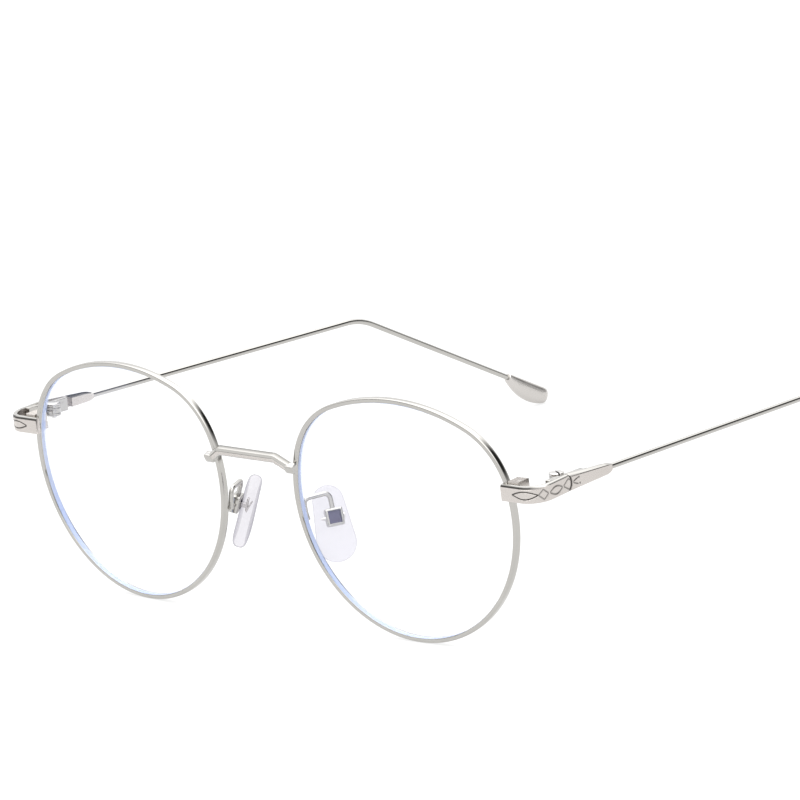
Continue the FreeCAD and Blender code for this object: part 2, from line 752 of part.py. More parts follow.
def ear_bend(tip, floor):
    """Bend in degrees that rests the tip level with the bottoms of the rims, by halving."""
    shallow = 0.0
    steep = 90.0
    local = tip.Shape.copy()
    local.Placement = Placement()
    for _ in range(HALVINGS):
        bend = (shallow + steep) / 2
        placed = local.transformed(tip_place(bend).toMatrix())
        if placed.optimalBoundingBox(False, False).ZMin > floor:
            shallow = bend
        else:
            steep = bend
    return (shallow + steep) / 2


def temple_wire(bend):
    """Temple wire: straight from the bar, one bend behind the ear, straight into the tip."""
    body = DOC.addObject("PartDesign::Body", "TempleWire")
    path = new_sketch(body, "WirePath", "YZ_Plane")
    start = size("bar_length") - size("wire_seat") + size("solder_gap")
    corner = Vector(bend_corner(), 0, 0)
    angle = math.radians(bend)
    reach = size("drop_length") + size("wire_seat") - size("solder_gap")
    end = corner + Vector(math.cos(angle), -math.sin(angle), 0) * reach
    points = [Vector(start, 0, 0), corner, end]
    for curve in rounded_path(points, size("ear_bend_radius")):
        path.addGeometry(curve)
    section = new_sketch(body, "WireSection", "XZ_Plane",
                         "-(bar_length - wire_seat + solder_gap)")
    circle(section, "0", "0", "wire_radius")
    pipe(body, "WireRod", section, path)
    body.Placement = wire_place()
    body.Label = "temple_wire_left"
    return body


# ---------------------------------------------------------------- nose pads

BOX_FRONT = "-pad_thickness / 2 - box_gap"
SCREW_DEPTH = "(-pad_thickness / 2 - box_gap - box_depth / 2)"


def pad_box():
    """Pad box: an open cup that holds the pad's tongue, bored across for its screw."""
    cup = box("BoxCup", ("-box_width / 2", "box_width / 2"),
              ("%s - box_depth" % BOX_FRONT, BOX_FRONT),
              ("box_lift - box_height / 2", "box_lift + box_height / 2"))
    inside = box("BoxInside", ("-box_width / 2 + box_wall", "box_width / 2 - box_wall"),
                 ("%s - box_depth + box_wall" % BOX_FRONT, "0"),
                 ("box_lift - box_height / 2 + box_wall", "box_lift + box_height / 2 - box_wall"))
    bore = cylinder_x("BoxBore", "pad_screw_radius + pin_clearance", "-box_width", "box_width",
                      y=SCREW_DEPTH, z="box_lift")
    return finish("pad_box", cut("PadBox", cup, fuse("BoxCuts", inside, bore)), pad_place())


def spread(low, high, growth):
    """A span of two formulas, grown by a third at both ends."""
    return ("%s - %s" % (low, growth), "%s + %s" % (high, growth))


def insert_solids(name, growth):
    """The pad's metal insert: a plate inside the silicone and a tongue out of its back."""
    plate_side = "(box_width / 2 - box_wall)"
    plate = box(name + "Plate", spread("-" + plate_side, plate_side, growth),
                spread("-insert_thickness * 2 / 3", "insert_thickness / 3", growth),
                spread("box_lift - insert_height / 2", "box_lift + insert_height / 2", growth))
    side = "(box_width / 2 - box_wall - tongue_clearance)"
    end = "(box_height / 2 - box_wall - 3 * tongue_clearance)"
    tongue = box(name + "Tongue", spread("-" + side, side, growth),
                 ("%s - box_depth + box_wall + 2 * tongue_clearance" % BOX_FRONT, "0"),
                 spread("box_lift - " + end, "box_lift + " + end, growth))
    return fuse(name + "Solid", plate, tongue)


def pad_insert():
    """Metal insert with the hole that the pad rocks on."""
    bore = cylinder_x("InsertBore", "pad_screw_radius + pin_clearance", "-box_width", "box_width",
                      y=SCREW_DEPTH, z="box_lift")
    return finish("pad_insert", cut("PadInsert", insert_solids("Insert", "0"), bore), pad_place())


def nose_pad():
    """Silicone pad: a teardrop moulded round its insert."""
    body = DOC.addObject("PartDesign::Body", "PadBlank")
    face = new_sketch(body, "PadFace", "XZ_Plane")
    half = size("pad_length") / 2
    bottom = size("pad_width") / 2
    top = size("pad_top_width") / 2
    bottom_centre = Vector(0, bottom - half, 0)
    top_centre = Vector(0, half - top, 0)
    tilt = math.asin((bottom - top) / (top_centre - bottom_centre).Length)
    out = Vector(math.cos(tilt), math.sin(tilt), 0)
    mirrored = Vector(-out.x, out.y, 0)
    face.addGeometry(Part.Arc(bottom_centre + mirrored * bottom,
                              bottom_centre - Vector(0, bottom, 0), bottom_centre + out * bottom))
    face.addGeometry(Part.LineSegment(bottom_centre + out * bottom, top_centre + out * top))
    face.addGeometry(Part.Arc(top_centre + out * top, top_centre + Vector(0, top, 0),
                              top_centre + mirrored * top))
    face.addGeometry(Part.LineSegment(top_centre + mirrored * top,
                                      bottom_centre + mirrored * bottom))
    for i in range(4):
        face.addConstraint(Sketcher.Constraint("Coincident", i, 2, (i + 1) % 4, 1))
    pad(body, "PadStock", face, "pad_thickness", midplane=True)
    flank = size("pad_thickness") / 2
    fillet(body, "PadRounding", "min(pad_edge_round; pad_thickness * 0.42)",
           lambda edge: abs(abs(edge.CenterOfMass.y) - flank) < NEAR)
    pocket = insert_solids("PadPocket", "solder_gap")
    return finish("nose_pad", cut("NosePad", body, pocket), pad_place())


def pad_screw():
    """Pad screw: the pad rocks a few degrees on its shaft."""
    stem = cylinder_x("PadScrewStem", "pad_screw_radius", "-box_width / 2 - pad_screw_tail",
                      "box_width / 2 + solder_gap", y=SCREW_DEPTH, z="box_lift")
    cap = cylinder_x("PadScrewCap", "pad_screw_head_radius", "box_width / 2 + solder_gap",
                     "box_width / 2 + solder_gap + pad_screw_head_height",
                     y=SCREW_DEPTH, z="box_lift")
    return finish("pad_screw", fuse("PadScrew", stem, cap), pad_place())


def pad_arm():
    """Gooseneck wire from the back of the rim, up and back, then down to the pad box."""
    local = pad_place()
    into_front = front_place().inverse()
    box_top = Vector(0, -size("pad_thickness") / 2 - size("box_gap") - size("box_depth") / 2,
                     size("box_lift") + size("box_height") / 2 + size("solder_gap"))
    landing = into_front * (local * box_top)
    rise = into_front * (local * (box_top + Vector(0, 0, size("arm_run"))))
    wrap = math.radians(size("wrap_angle"))
    nasal = size("shoulder_width") / 2 + size("rim_width") / 2
    back = size("rim_depth") / 2 + size("pad_arm_radius") + size("solder_gap")
    foot_x = lens_offset() - nasal * math.cos(wrap) - back * math.sin(wrap)
    foot_y = back * math.cos(wrap) - nasal * math.sin(wrap)
    foot = Vector(foot_x, foot_y, size("pad_level") + size("arm_foot_lift"))
    knee = Vector(foot_x - size("arm_knee_inset"), foot_y + size("arm_knee_setback"),
                  size("arm_knee_level"))
    path = Part.Wire([curve.toShape() for curve in
                      rounded_path([foot, knee, rise, landing], size("pad_arm_bend"))])
    ring = Part.Circle(foot, knee - foot, size("pad_arm_radius"))
    section = Part.Wire([ring.toShape()])
    arm = DOC.addObject("Part::Feature", "PadArm")
    arm.Shape = path.makePipeShell([section], True, True)
    arm.Placement = front_place() * arm.Placement
    arm.Label = "pad_arm_left"
    return arm


# ---------------------------------------------------------------- assembly

def finish(label, item, placement):
    """Name a finished piece of the left side and stand it in its place."""
    item.Label = label + BUILT_SUFFIX
    item.Placement = placement
    return item


def mirror(item):
    """The right-hand twin of a left-hand piece."""
    twin = DOC.addObject("Part::Mirroring", item.Name + "Mirrored")
    twin.Source = item
    twin.Base = Vector(0, 0, 0)
    twin.Normal = X_AXIS
    twin.Label = item.Label[:-len(BUILT_SUFFIX)] + MIRRORED_SUFFIX
    return twin


def build():
    """Build every piece and return them."""
    rim_left = rim()
    tip = tip_blank()
    DOC.recompute()
    floor = rim_left.Shape.optimalBoundingBox(False, False).ZMin
    bend = ear_bend(tip, floor)
    print("ear bend %.3f degrees, floor %.3f" % (bend, floor))
    finish("temple_tip", tip, tip_place(bend))
    left = [rim_left, lens(), endpiece()] + closing_blocks() + [
        rim_screw(), hinge_front(), hinge_rear(), hinge_screw(), temple_bar(), temple_wire(bend),
        tip, pad_arm(), pad_box(), pad_insert(), nose_pad(), pad_screw()]
    middle = [bridge()]
    DOC.recompute()
    report_axes(centre(left + middle))
    DOC.recompute()
    right = [mirror(item) for item in left]
    DOC.recompute()
    return left + middle + right


def centre(pieces):
    """Move everything so that the origin is under the middle of the whole, and return the move."""
    boxes = [piece.Shape.optimalBoundingBox(False, False) for piece in pieces]
    bottom = min(item.ZMin for item in boxes)
    front = min(item.YMin for item in boxes)
    back = max(item.YMax for item in boxes)
    shift = Placement(Vector(0, -(front + back) / 2, -bottom), Rotation())
    for piece in pieces:
        piece.Placement = shift * piece.Placement
    return shift


def report_axes(shift):
    """Print where the left-hand joints turn, in the part's own frame."""
    hinge = shift * hinge_place()
    print("hinge_left", tuple(hinge.Base), tuple(hinge.Rotation.multVec(Z_AXIS)))
    depth = size("pad_thickness") / 2 + size("box_gap") + size("box_depth") / 2
    rock = shift * pad_place()
    pivot = rock * Vector(0, -depth, size("box_lift"))
    print("pad_left", tuple(pivot), tuple(rock.Rotation.multVec(X_AXIS)))


def write(pieces):
    """Check every object and write one STEP file for each piece."""
    for item in DOC.Objects:
        if "Invalid" in item.State or "Error" in item.State:
            raise RuntimeError("%s failed: %s" % (item.Name, item.State))
    os.makedirs("parts", exist_ok=True)
    for piece in pieces:
        shape = piece.Shape
        if shape.isNull() or not shape.isValid() or not shape.Solids:
            raise RuntimeError("%s has no valid solid" % piece.Label)
        print("%-28s %d solid %9.3f mm3" % (piece.Label, len(shape.Solids), shape.Volume))
        shape.exportStep("parts/%s.step" % piece.Label)


write(build())
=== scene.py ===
"""Round wire spectacles dressed for a studio picture.

Every piece is modelled in millimetres in the axes of the sub-assembly it belongs to, and is then
stood in the row frame in metres. +X is the wearer's left, the front faces -Y, the temples run back
along +Y and +Z is up. The left half is modelled, and the right half is its mirror image.
"""

import json
import logging
import math
from collections.abc import Callable, Iterable, Sequence
from dataclasses import dataclass
from enum import Enum

import bmesh
import bpy
from bmesh.types import BMEdge, BMFace, BMVert
from bpy.types import Material, Node, NodeSocket, NodeTree, Object
from mathutils import Matrix, Vector


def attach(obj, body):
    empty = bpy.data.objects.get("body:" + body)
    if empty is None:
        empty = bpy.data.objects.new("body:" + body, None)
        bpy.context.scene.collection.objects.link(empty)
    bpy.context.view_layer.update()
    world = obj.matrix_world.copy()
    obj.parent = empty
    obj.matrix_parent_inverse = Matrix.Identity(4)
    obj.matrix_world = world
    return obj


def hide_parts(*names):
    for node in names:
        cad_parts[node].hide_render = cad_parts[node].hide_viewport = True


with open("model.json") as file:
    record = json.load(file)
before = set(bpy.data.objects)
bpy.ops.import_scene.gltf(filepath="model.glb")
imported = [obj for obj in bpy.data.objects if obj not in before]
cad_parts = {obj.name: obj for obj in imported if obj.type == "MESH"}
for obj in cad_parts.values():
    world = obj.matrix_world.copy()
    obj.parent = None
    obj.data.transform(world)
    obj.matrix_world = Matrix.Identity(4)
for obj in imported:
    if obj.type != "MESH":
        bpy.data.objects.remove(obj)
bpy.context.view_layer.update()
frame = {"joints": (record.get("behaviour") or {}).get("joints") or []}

LOG = logging.getLogger("spectacles")
METRES = 0.001                      # millimetres to metres
DOUBLES = 1e-4                      # mm, vertices closer than this are one
SOLDER = 0.02                       # mm, the film between two brazed pieces
CREASE = 32.0                       # degrees, edges sharper than this stay sharp
TURNED_SIDES = 48                   # sides of a turned piece
NOWHERE = Matrix.Identity(4)

Pair = tuple[float, float]


class Side(Enum):
    """Which half of the spectacles a piece belongs to."""

    LEFT = 1
    RIGHT = -1

    def named(self, piece: str) -> str:
        """Name of this half's copy of a piece."""
        return f"{piece}_{self.name.lower()}"

    def mirrored(self, place: Matrix) -> Matrix:
        """This half's copy of a place on the left half."""
        return Matrix.Diagonal((self.value, 1, 1, 1)) @ place


def spun(axis: str, degrees: float) -> Matrix:
    """Rotation about one axis by an angle in degrees."""
    return Matrix.Rotation(math.radians(degrees), 4, axis)


def moved(x: float, y: float, z: float) -> Matrix:
    """Translation by three distances."""
    return Matrix.Translation((x, y, z))


# ------------------------------------------------------------------------------- where things are

@dataclass(frozen=True)
class Layout:
    """How the spectacles stand. Sizes are in millimetres and angles in degrees."""

    shoulder_width: float = 50.5
    lens_height: float = 45.2
    nose_gap: float = 20.8
    lens_turn: float = 2.25
    wrap: float = 3.3
    rake: float = 2.0
    rim_width: float = 0.92
    rim_depth: float = 1.45
    plate_level: float = 8.15
    endpiece_reach: float = 8.2
    hinge_setback: float = 9.5
    hinge_inset: float = 3.5
    toe: float = 2.5
    temple_drop: float = 4.1
    wire_inset: float = 0.85
    ear_lean: float = 6.2
    pad_side_gap: float = 11.15
    pad_setback: float = 5.05
    pad_level: float = -4.95
    pad_splay: float = 30.0
    pad_flare: float = 17.8
    pad_rake: float = 11.0

    def rim_corner(self) -> Vector:
        """Front of the rim at the outer side of the lens, in the front's own axes."""
        wrap = math.radians(self.wrap)
        half, depth = self.shoulder_width / 2, self.rim_depth / 2
        return Vector((self.lens_offset() + half * math.cos(wrap) + depth * math.sin(wrap),
                       half * math.sin(wrap) - depth * math.cos(wrap), self.plate_level))

    def lens_offset(self) -> float:
        """Lens centre from the middle plane."""
        return (self.shoulder_width + self.nose_gap) / 2

    def hinge_axis(self) -> Vector:
        """A point on the hinge's axis, in the front's own axes."""
        outer = self.rim_corner().x + self.endpiece_reach
        return Vector((outer - self.hinge_inset, self.hinge_setback, self.plate_level))

    def front(self) -> Matrix:
        """The leaning front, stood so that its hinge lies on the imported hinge's axis."""
        lean = spun("X", self.rake)
        hinge = next(joint for joint in frame["joints"] if joint["name"] == "temple_left_fold")
        packed = Vector(hinge["pos_m"]) / METRES
        return Matrix.Translation(packed - lean @ self.hinge_axis()) @ lean

    def lens(self) -> Matrix:
        """One lens: its centre at the origin, local X outwards, local -Y forwards."""
        return self.front() @ moved(self.lens_offset(), 0, 0) @ spun("Z", self.wrap)

    def outline(self) -> Matrix:
        """The lens outline, turned outwards in its own plane."""
        return self.lens() @ spun("Y", self.lens_turn)

    def endpiece(self) -> Matrix:
        """The endpiece: its origin on the rim's front face."""
        return self.front() @ Matrix.Translation(self.rim_corner())

    def hinge(self) -> Matrix:
        """The hinge: its axis is local Z, and the temple runs back along local Y."""
        turn = spun("Z", self.toe) @ spun("X", -self.temple_drop)
        return self.front() @ Matrix.Translation(self.hinge_axis()) @ turn

    def wire(self) -> Matrix:
        """The temple wire: it runs along local Y and drops in the local YZ plane."""
        return self.hinge() @ moved(self.hinge_inset - self.wire_inset, 0, 0) @ spun("Y", self.ear_lean)

    def pad(self) -> Matrix:
        """The nose pad: local Y faces the nose and local Z runs up the pad."""
        centre = moved(self.pad_side_gap, self.pad_setback, self.pad_level)
        turn = spun("Y", -self.pad_flare) @ spun("X", -self.pad_rake) @ spun("Z", 90 - self.pad_splay)
        return self.front() @ centre @ turn


LAYOUT = Layout()


# ------------------------------------------------------------------------------------- finishes

def linear(hex_colour: str) -> tuple[float, float, float, float]:
    """Scene-linear colour of an sRGB hex value.

    Args:
        hex_colour: the value, such as "d8d2cb".

    Returns:
        Its red, green, blue and alpha.
    """
    channels = [int(hex_colour[i:i + 2], 16) / 255 for i in (0, 2, 4)]
    curve = [c / 12.92 if c <= 0.04045 else ((c + 0.055) / 1.055) ** 2.4 for c in channels]
    return (curve[0], curve[1], curve[2], 1.0)


def add_node(tree: NodeTree, kind: str, settings: dict | None = None, links: dict | None = None) -> Node:
    """Add one node.

    Args:
        tree: the tree it goes into.
        kind: the node's type, such as "ShaderNodeTexNoise".
        settings: values of its properties, or of its inputs by name or number.
        links: the output socket that feeds each input, by name or number.

    Returns:
        The new node.
    """
    node = tree.nodes.new(kind)
    for key, value in (settings or {}).items():
        if isinstance(key, int) or key in node.inputs:
            node.inputs[key].default_value = value
        else:
            setattr(node, key, value)
    for key, source in (links or {}).items():
        tree.links.new(source, node.inputs[key])
    return node


def grain(tree: NodeTree, size_mm: Sequence[float], detail: float = 2.0) -> NodeSocket:
    """Noise in the piece's own coordinates.

    Args:
        tree: the material's tree.
        size_mm: size of one grain along X, Y and Z, in millimetres.
        detail: how many finer octaves it holds.

    Returns:
        The noise, around one half.
    """
    where = add_node(tree, "ShaderNodeTexCoord").outputs["Object"]
    scale = tuple(1 / (size * METRES) for size in size_mm)
    spread = add_node(tree, "ShaderNodeMapping", {"Scale": scale}, {"Vector": where})
    noise = add_node(tree, "ShaderNodeTexNoise", {"Scale": 1.0, "Detail": detail},
                     {"Vector": spread.outputs["Vector"]})
    return noise.outputs["Fac"]


def between(tree: NodeTree, factor: NodeSocket, low: float, high: float) -> NodeSocket:
    """Stretch noise around one half over a range of values.

    Args:
        tree: the material's tree.
        factor: the noise.
        low: what its valleys give.
        high: what its peaks give.

    Returns:
        The stretched noise.
    """
    settings = {"From Min": 0.3, "From Max": 0.7, "To Min": low, "To Max": high}
    return add_node(tree, "ShaderNodeMapRange", settings, {"Value": factor}).outputs["Result"]


def blended(tree: NodeTree, factor: NodeSocket, first: str | NodeSocket, second: str) -> NodeSocket:
    """Colour between two.

    Args:
        tree: the material's tree.
        factor: how much of the second there is.
        first: a hex value, or a socket that gives the colour.
        second: a hex value.

    Returns:
        The blended colour.
    """
    mix = add_node(tree, "ShaderNodeMix", {"data_type": "RGBA"})
    tree.links.new(factor, mix.inputs[0])
    if isinstance(first, str):
        mix.inputs[6].default_value = linear(first)
    else:
        tree.links.new(first, mix.inputs[6])
    mix.inputs[7].default_value = linear(second)
    return mix.outputs[2]


class Finish:
    """A finish that makes one material."""

    name: str

    def surface(self, tree: NodeTree) -> NodeSocket:
        """The finish's shader, built in a material's tree."""
        raise NotImplementedError

    def make(self) -> Material:
        """Build the material and return it."""
        material = bpy.data.materials.new(self.name)
        material.use_nodes = True
        tree = material.node_tree
        tree.nodes.clear()
        add_node(tree, "ShaderNodeOutputMaterial", links={"Surface": self.surface(tree)})
        return material


@dataclass(frozen=True)
class Metal(Finish):
    """A plated or bare metal finish.

    The colour drifts a little over centimetres, as plating does, and fine marks left by the wheel
    or the brush move its roughness and its surface. Grooves, slots and seams are darkened as painted shade.
    """

    name: str
    bright: str
    dull: str
    smoothest: float
    roughest: float
    mark_mm: tuple[float, float, float]
    relief_mm: float
    painted_shade_colour: str = "201e1d"
    drift_mm: float = 9.0

    def surface(self, tree: NodeTree) -> NodeSocket:
        """The finish's shader, built in a material's tree."""
        plating = blended(tree, grain(tree, (self.drift_mm,) * 3), self.bright, self.dull)
        # painted shade: the painted_shade attribute darkens the colour in grooves, slots, seams and along the
        # bridge's rear edge
        cut = add_node(tree, "ShaderNodeAttribute", {"attribute_name": "painted_shade"}).outputs["Fac"]
        marks = grain(tree, self.mark_mm, 3.0)
        bump = add_node(tree, "ShaderNodeBump", {"Strength": 0.35, "Distance": self.relief_mm * METRES},
                        {"Height": marks})
        return add_node(tree, "ShaderNodeBsdfPrincipled", {"Metallic": 1.0}, {
            "Base Color": blended(tree, cut, plating, self.painted_shade_colour),
            "Roughness": between(tree, marks, self.smoothest, self.roughest),
            "Normal": bump.outputs["Normal"]}).outputs["BSDF"]


# Bright nickel-silver plate: buffed on a wheel, so it mirrors the room almost sharply, a little warm.
BRIGHT_PLATE = Metal("bright_silver_plate", "bebcb8", "b0aeaa", 0.06, 0.12, (0.5, 0.5, 0.5), 0.002)
# Satin silver plate: brushed before plating, so its highlights spread and its shadows stay warm grey.
SATIN_PLATE = Metal("satin_silver_plate", "cfcac6", "c0bab5", 0.22, 0.36, (0.22, 0.3, 0.2), 0.012)
# Buffed silver plate on the pressed tips: smooth, but not a mirror, so dark edges stay soft.
BUFFED_PLATE = Metal("buffed_silver_plate", "cdcac7", "c1bdb9", 0.16, 0.22, (0.5, 0.5, 0.5), 0.003)
# Turned stainless screw steel: cooler, with fine tool marks.
SCREW_STEEL = Metal("turned_stainless_steel", "d2d0ce", "c4c2c0", 0.14, 0.24, (0.08, 0.08, 0.08), 0.003)
# Dark steel on the walls and floor of the pad box's windows: painted shade in the recess.
RECESS_SHADE_STEEL = Metal("pad_box_painted_shade", "5d5972", "47445a", 0.3, 0.45, (0.2, 0.2, 0.2), 0.004)


@dataclass(frozen=True)
class CoatedLens(Finish):
    """Anti-reflection coated clear lens: almost invisible, with a blue-violet sheen at a slant."""

    name: str = "coated_clear_lens"
    colour: str = "e4eaff"
    sheen: str = "b9c4ff"
    straight_on: float = 0.004
    slanted: float = 0.1

    def surface(self, tree: NodeTree) -> NodeSocket:
        """The finish's shader, built in a material's tree."""
        slant = add_node(tree, "ShaderNodeLayerWeight", {"Blend": 0.25}).outputs["Fresnel"]
        haze = between(tree, grain(tree, (14.0, 14.0, 14.0)), 0.9, 1.1)
        veil = add_node(tree, "ShaderNodeMapRange",
                        {"From Max": 1.0, "To Min": self.straight_on, "To Max": self.slanted},
                        {"Value": slant})
        alpha = add_node(tree, "ShaderNodeMath", {"operation": "MULTIPLY"},
                         {0: veil.outputs["Result"], 1: haze})
        return add_node(tree, "ShaderNodeBsdfPrincipled", {
            "Base Color": linear(self.colour), "Specular Tint": linear(self.sheen),
            "Roughness": 0.02, "IOR": 1.5}, {"Alpha": alpha.outputs[0]}).outputs["BSDF"]


@dataclass(frozen=True)
class GroundEdge(Finish):
    """Ground edge of a lens: a fine matt bevel that gathers the coating's blue."""

    name: str = "ground_lens_edge"
    lit: str = "dfe9ff"
    deep: str = "b4caff"

    def surface(self, tree: NodeTree) -> NodeSocket:
        """The finish's shader, built in a material's tree."""
        tint = blended(tree, grain(tree, (12.0, 12.0, 12.0)), self.lit, self.deep)
        return add_node(tree, "ShaderNodeBsdfPrincipled", {
            "Roughness": 0.45, "IOR": 1.5, "Alpha": 0.62}, {"Base Color": tint}).outputs["BSDF"]


@dataclass(frozen=True)
class Silicone(Finish):
    """Clear silicone: soft and a little cloudy, so it greys what is behind it most at its rims."""

    name: str = "clear_silicone"
    middle: str = "f2f1f3"
    rim: str = "8a8894"
    cloud: str = "ecebee"

    def surface(self, tree: NodeTree) -> NodeSocket:
        """The finish's shader, built in a material's tree."""
        cloudy = blended(tree, grain(tree, (1.6, 1.6, 1.6)), self.middle, self.cloud)
        slant = add_node(tree, "ShaderNodeLayerWeight", {"Blend": 0.3}).outputs["Facing"]
        steep = add_node(tree, "ShaderNodeMapRange", {"From Min": 0.45, "From Max": 1.0},
                         {"Value": slant})
        clear = add_node(tree, "ShaderNodeBsdfTransparent", links={
            "Color": blended(tree, steep.outputs["Result"], cloudy, self.rim)})
        skin = add_node(tree, "ShaderNodeBsdfPrincipled", {
            "Base Color": linear(self.cloud), "Roughness": 0.3, "IOR": 1.41})
        return add_node(tree, "ShaderNodeMixShader", {0: 0.08}, {
            1: clear.outputs["BSDF"], 2: skin.outputs["BSDF"]}).outputs["Shader"]


@dataclass(frozen=True)
class PaleFloor(Finish):
    """Backlit white acrylic: plain, matt and bright enough to stay white under the spectacles."""

    name: str = "pale_floor"
    colour: str = "808080"
    glow: float = 0.75

    def surface(self, tree: NodeTree) -> NodeSocket:
        """The finish's shader, built in a material's tree."""
        return add_node(tree, "ShaderNodeBsdfPrincipled", {
            "Base Color": linear(self.colour), "Roughness": 0.9, "Specular IOR Level": 0.1,
            "Emission Color": (1, 1, 1, 1), "Emission Strength": self.glow}).outputs["BSDF"]


class Palette:
    """The finishes, each built once."""

    def __init__(self) -> None:
        """Build every material."""
        self.bright = BRIGHT_PLATE.make()
        self.satin = SATIN_PLATE.make()
        self.buffed = BUFFED_PLATE.make()
        self.steel = SCREW_STEEL.make()
        self.recess_shade = RECESS_SHADE_STEEL.make()
        self.lens = CoatedLens().make()
        self.edge = GroundEdge().make()
        self.silicone = Silicone().make()


# ---------------------------------------------------------------------------------- shape making

@dataclass(frozen=True)
class Leg:
    """One leg of a track: a straight run, or an arc where it turns (radians, left is positive)."""

    length: float
    turn: float = 0.0

    def after(self, run: float) -> tuple[float, float, float]:
        """Distance along, distance to the left and heading, after some of the leg."""
        if abs(self.turn) < 1e-9:
            return run, 0.0, 0.0
        radius = self.length / self.turn
        angle = run / radius
        return radius * math.sin(angle), radius * (1 - math.cos(angle)), angle


class Track:
    """A flat route of straight legs and arcs, in a plane of two coordinates."""

    def __init__(self, start: Vector, heading: float, legs: Sequence[Leg]) -> None:
        """Set out the legs one after another.

        Args:
            start: where the route starts.
            heading: its first heading, in radians from the first coordinate.
            legs: its legs in order.
        """
        self.starts: list[tuple[float, Vector, float, Leg]] = []
        run, place = 0.0, Vector(start)
        for leg in legs:
            self.starts.append((run, place.copy(), heading, leg))
            along, aside, turned = leg.after(leg.length)
            place = place + self.step(heading, along, aside)
            heading += turned
            run += leg.length
        self.length = run

    @staticmethod
    def step(heading: float, along: float, aside: float) -> Vector:
        """A step forwards and to the left of a heading."""
        c, s = math.cos(heading), math.sin(heading)
        return Vector((c * along - s * aside, s * along + c * aside))

    @classmethod
    def through(cls, points: Sequence[Pair], radius: float) -> "Track":
        """Straight runs through points, with each inner corner rounded.

        Args:
            points: both ends and the corners between them.
            radius: radius of every corner.

        Returns:
            The track.
        """
        spots = [Vector(point) for point in points]
        sides = [b - a for a, b in zip(spots, spots[1:])]
        turns = [a.angle_signed(b) * -1 for a, b in zip(sides, sides[1:])]
        trims = [0.0] + [radius * math.tan(abs(turn) / 2) for turn in turns] + [0.0]
        legs: list[Leg] = []
        for i, side in enumerate(sides):
            legs.append(Leg(side.length - trims[i] - trims[i + 1]))
            if i < len(turns):
                legs.append(Leg(radius * abs(turns[i]), turns[i]))
        return cls(spots[0], math.atan2(sides[0].y, sides[0].x), legs)

    def at(self, run: float, aside: float = 0.0) -> Vector:
        """The point some way along, and some way to the left."""
        begun, place, heading, leg = [s for s in self.starts if s[0] <= run + 1e-9][-1]
        along, left, turned = leg.after(run - begun)
        return place + self.step(heading, along, left) + self.step(heading + turned, 0, aside)

    def stations(self, arc_step: float, run_step: float = 1.0) -> list[float]:
        """Distances along at which a bent piece needs an edge loop.

        Args:
            arc_step: largest step on an arc, in degrees.
            run_step: largest step on a straight run, in millimetres.

        Returns:
            The distances, from the start to the end.
        """
        marks = [0.0]
        for begun, _, _, leg in self.starts:
            pieces = abs(leg.turn) / math.radians(arc_step) if leg.turn else leg.length / run_step
            count = max(1, math.ceil(pieces))
            marks += [begun + leg.length * (i + 1) / count for i in range(count)]
        return marks


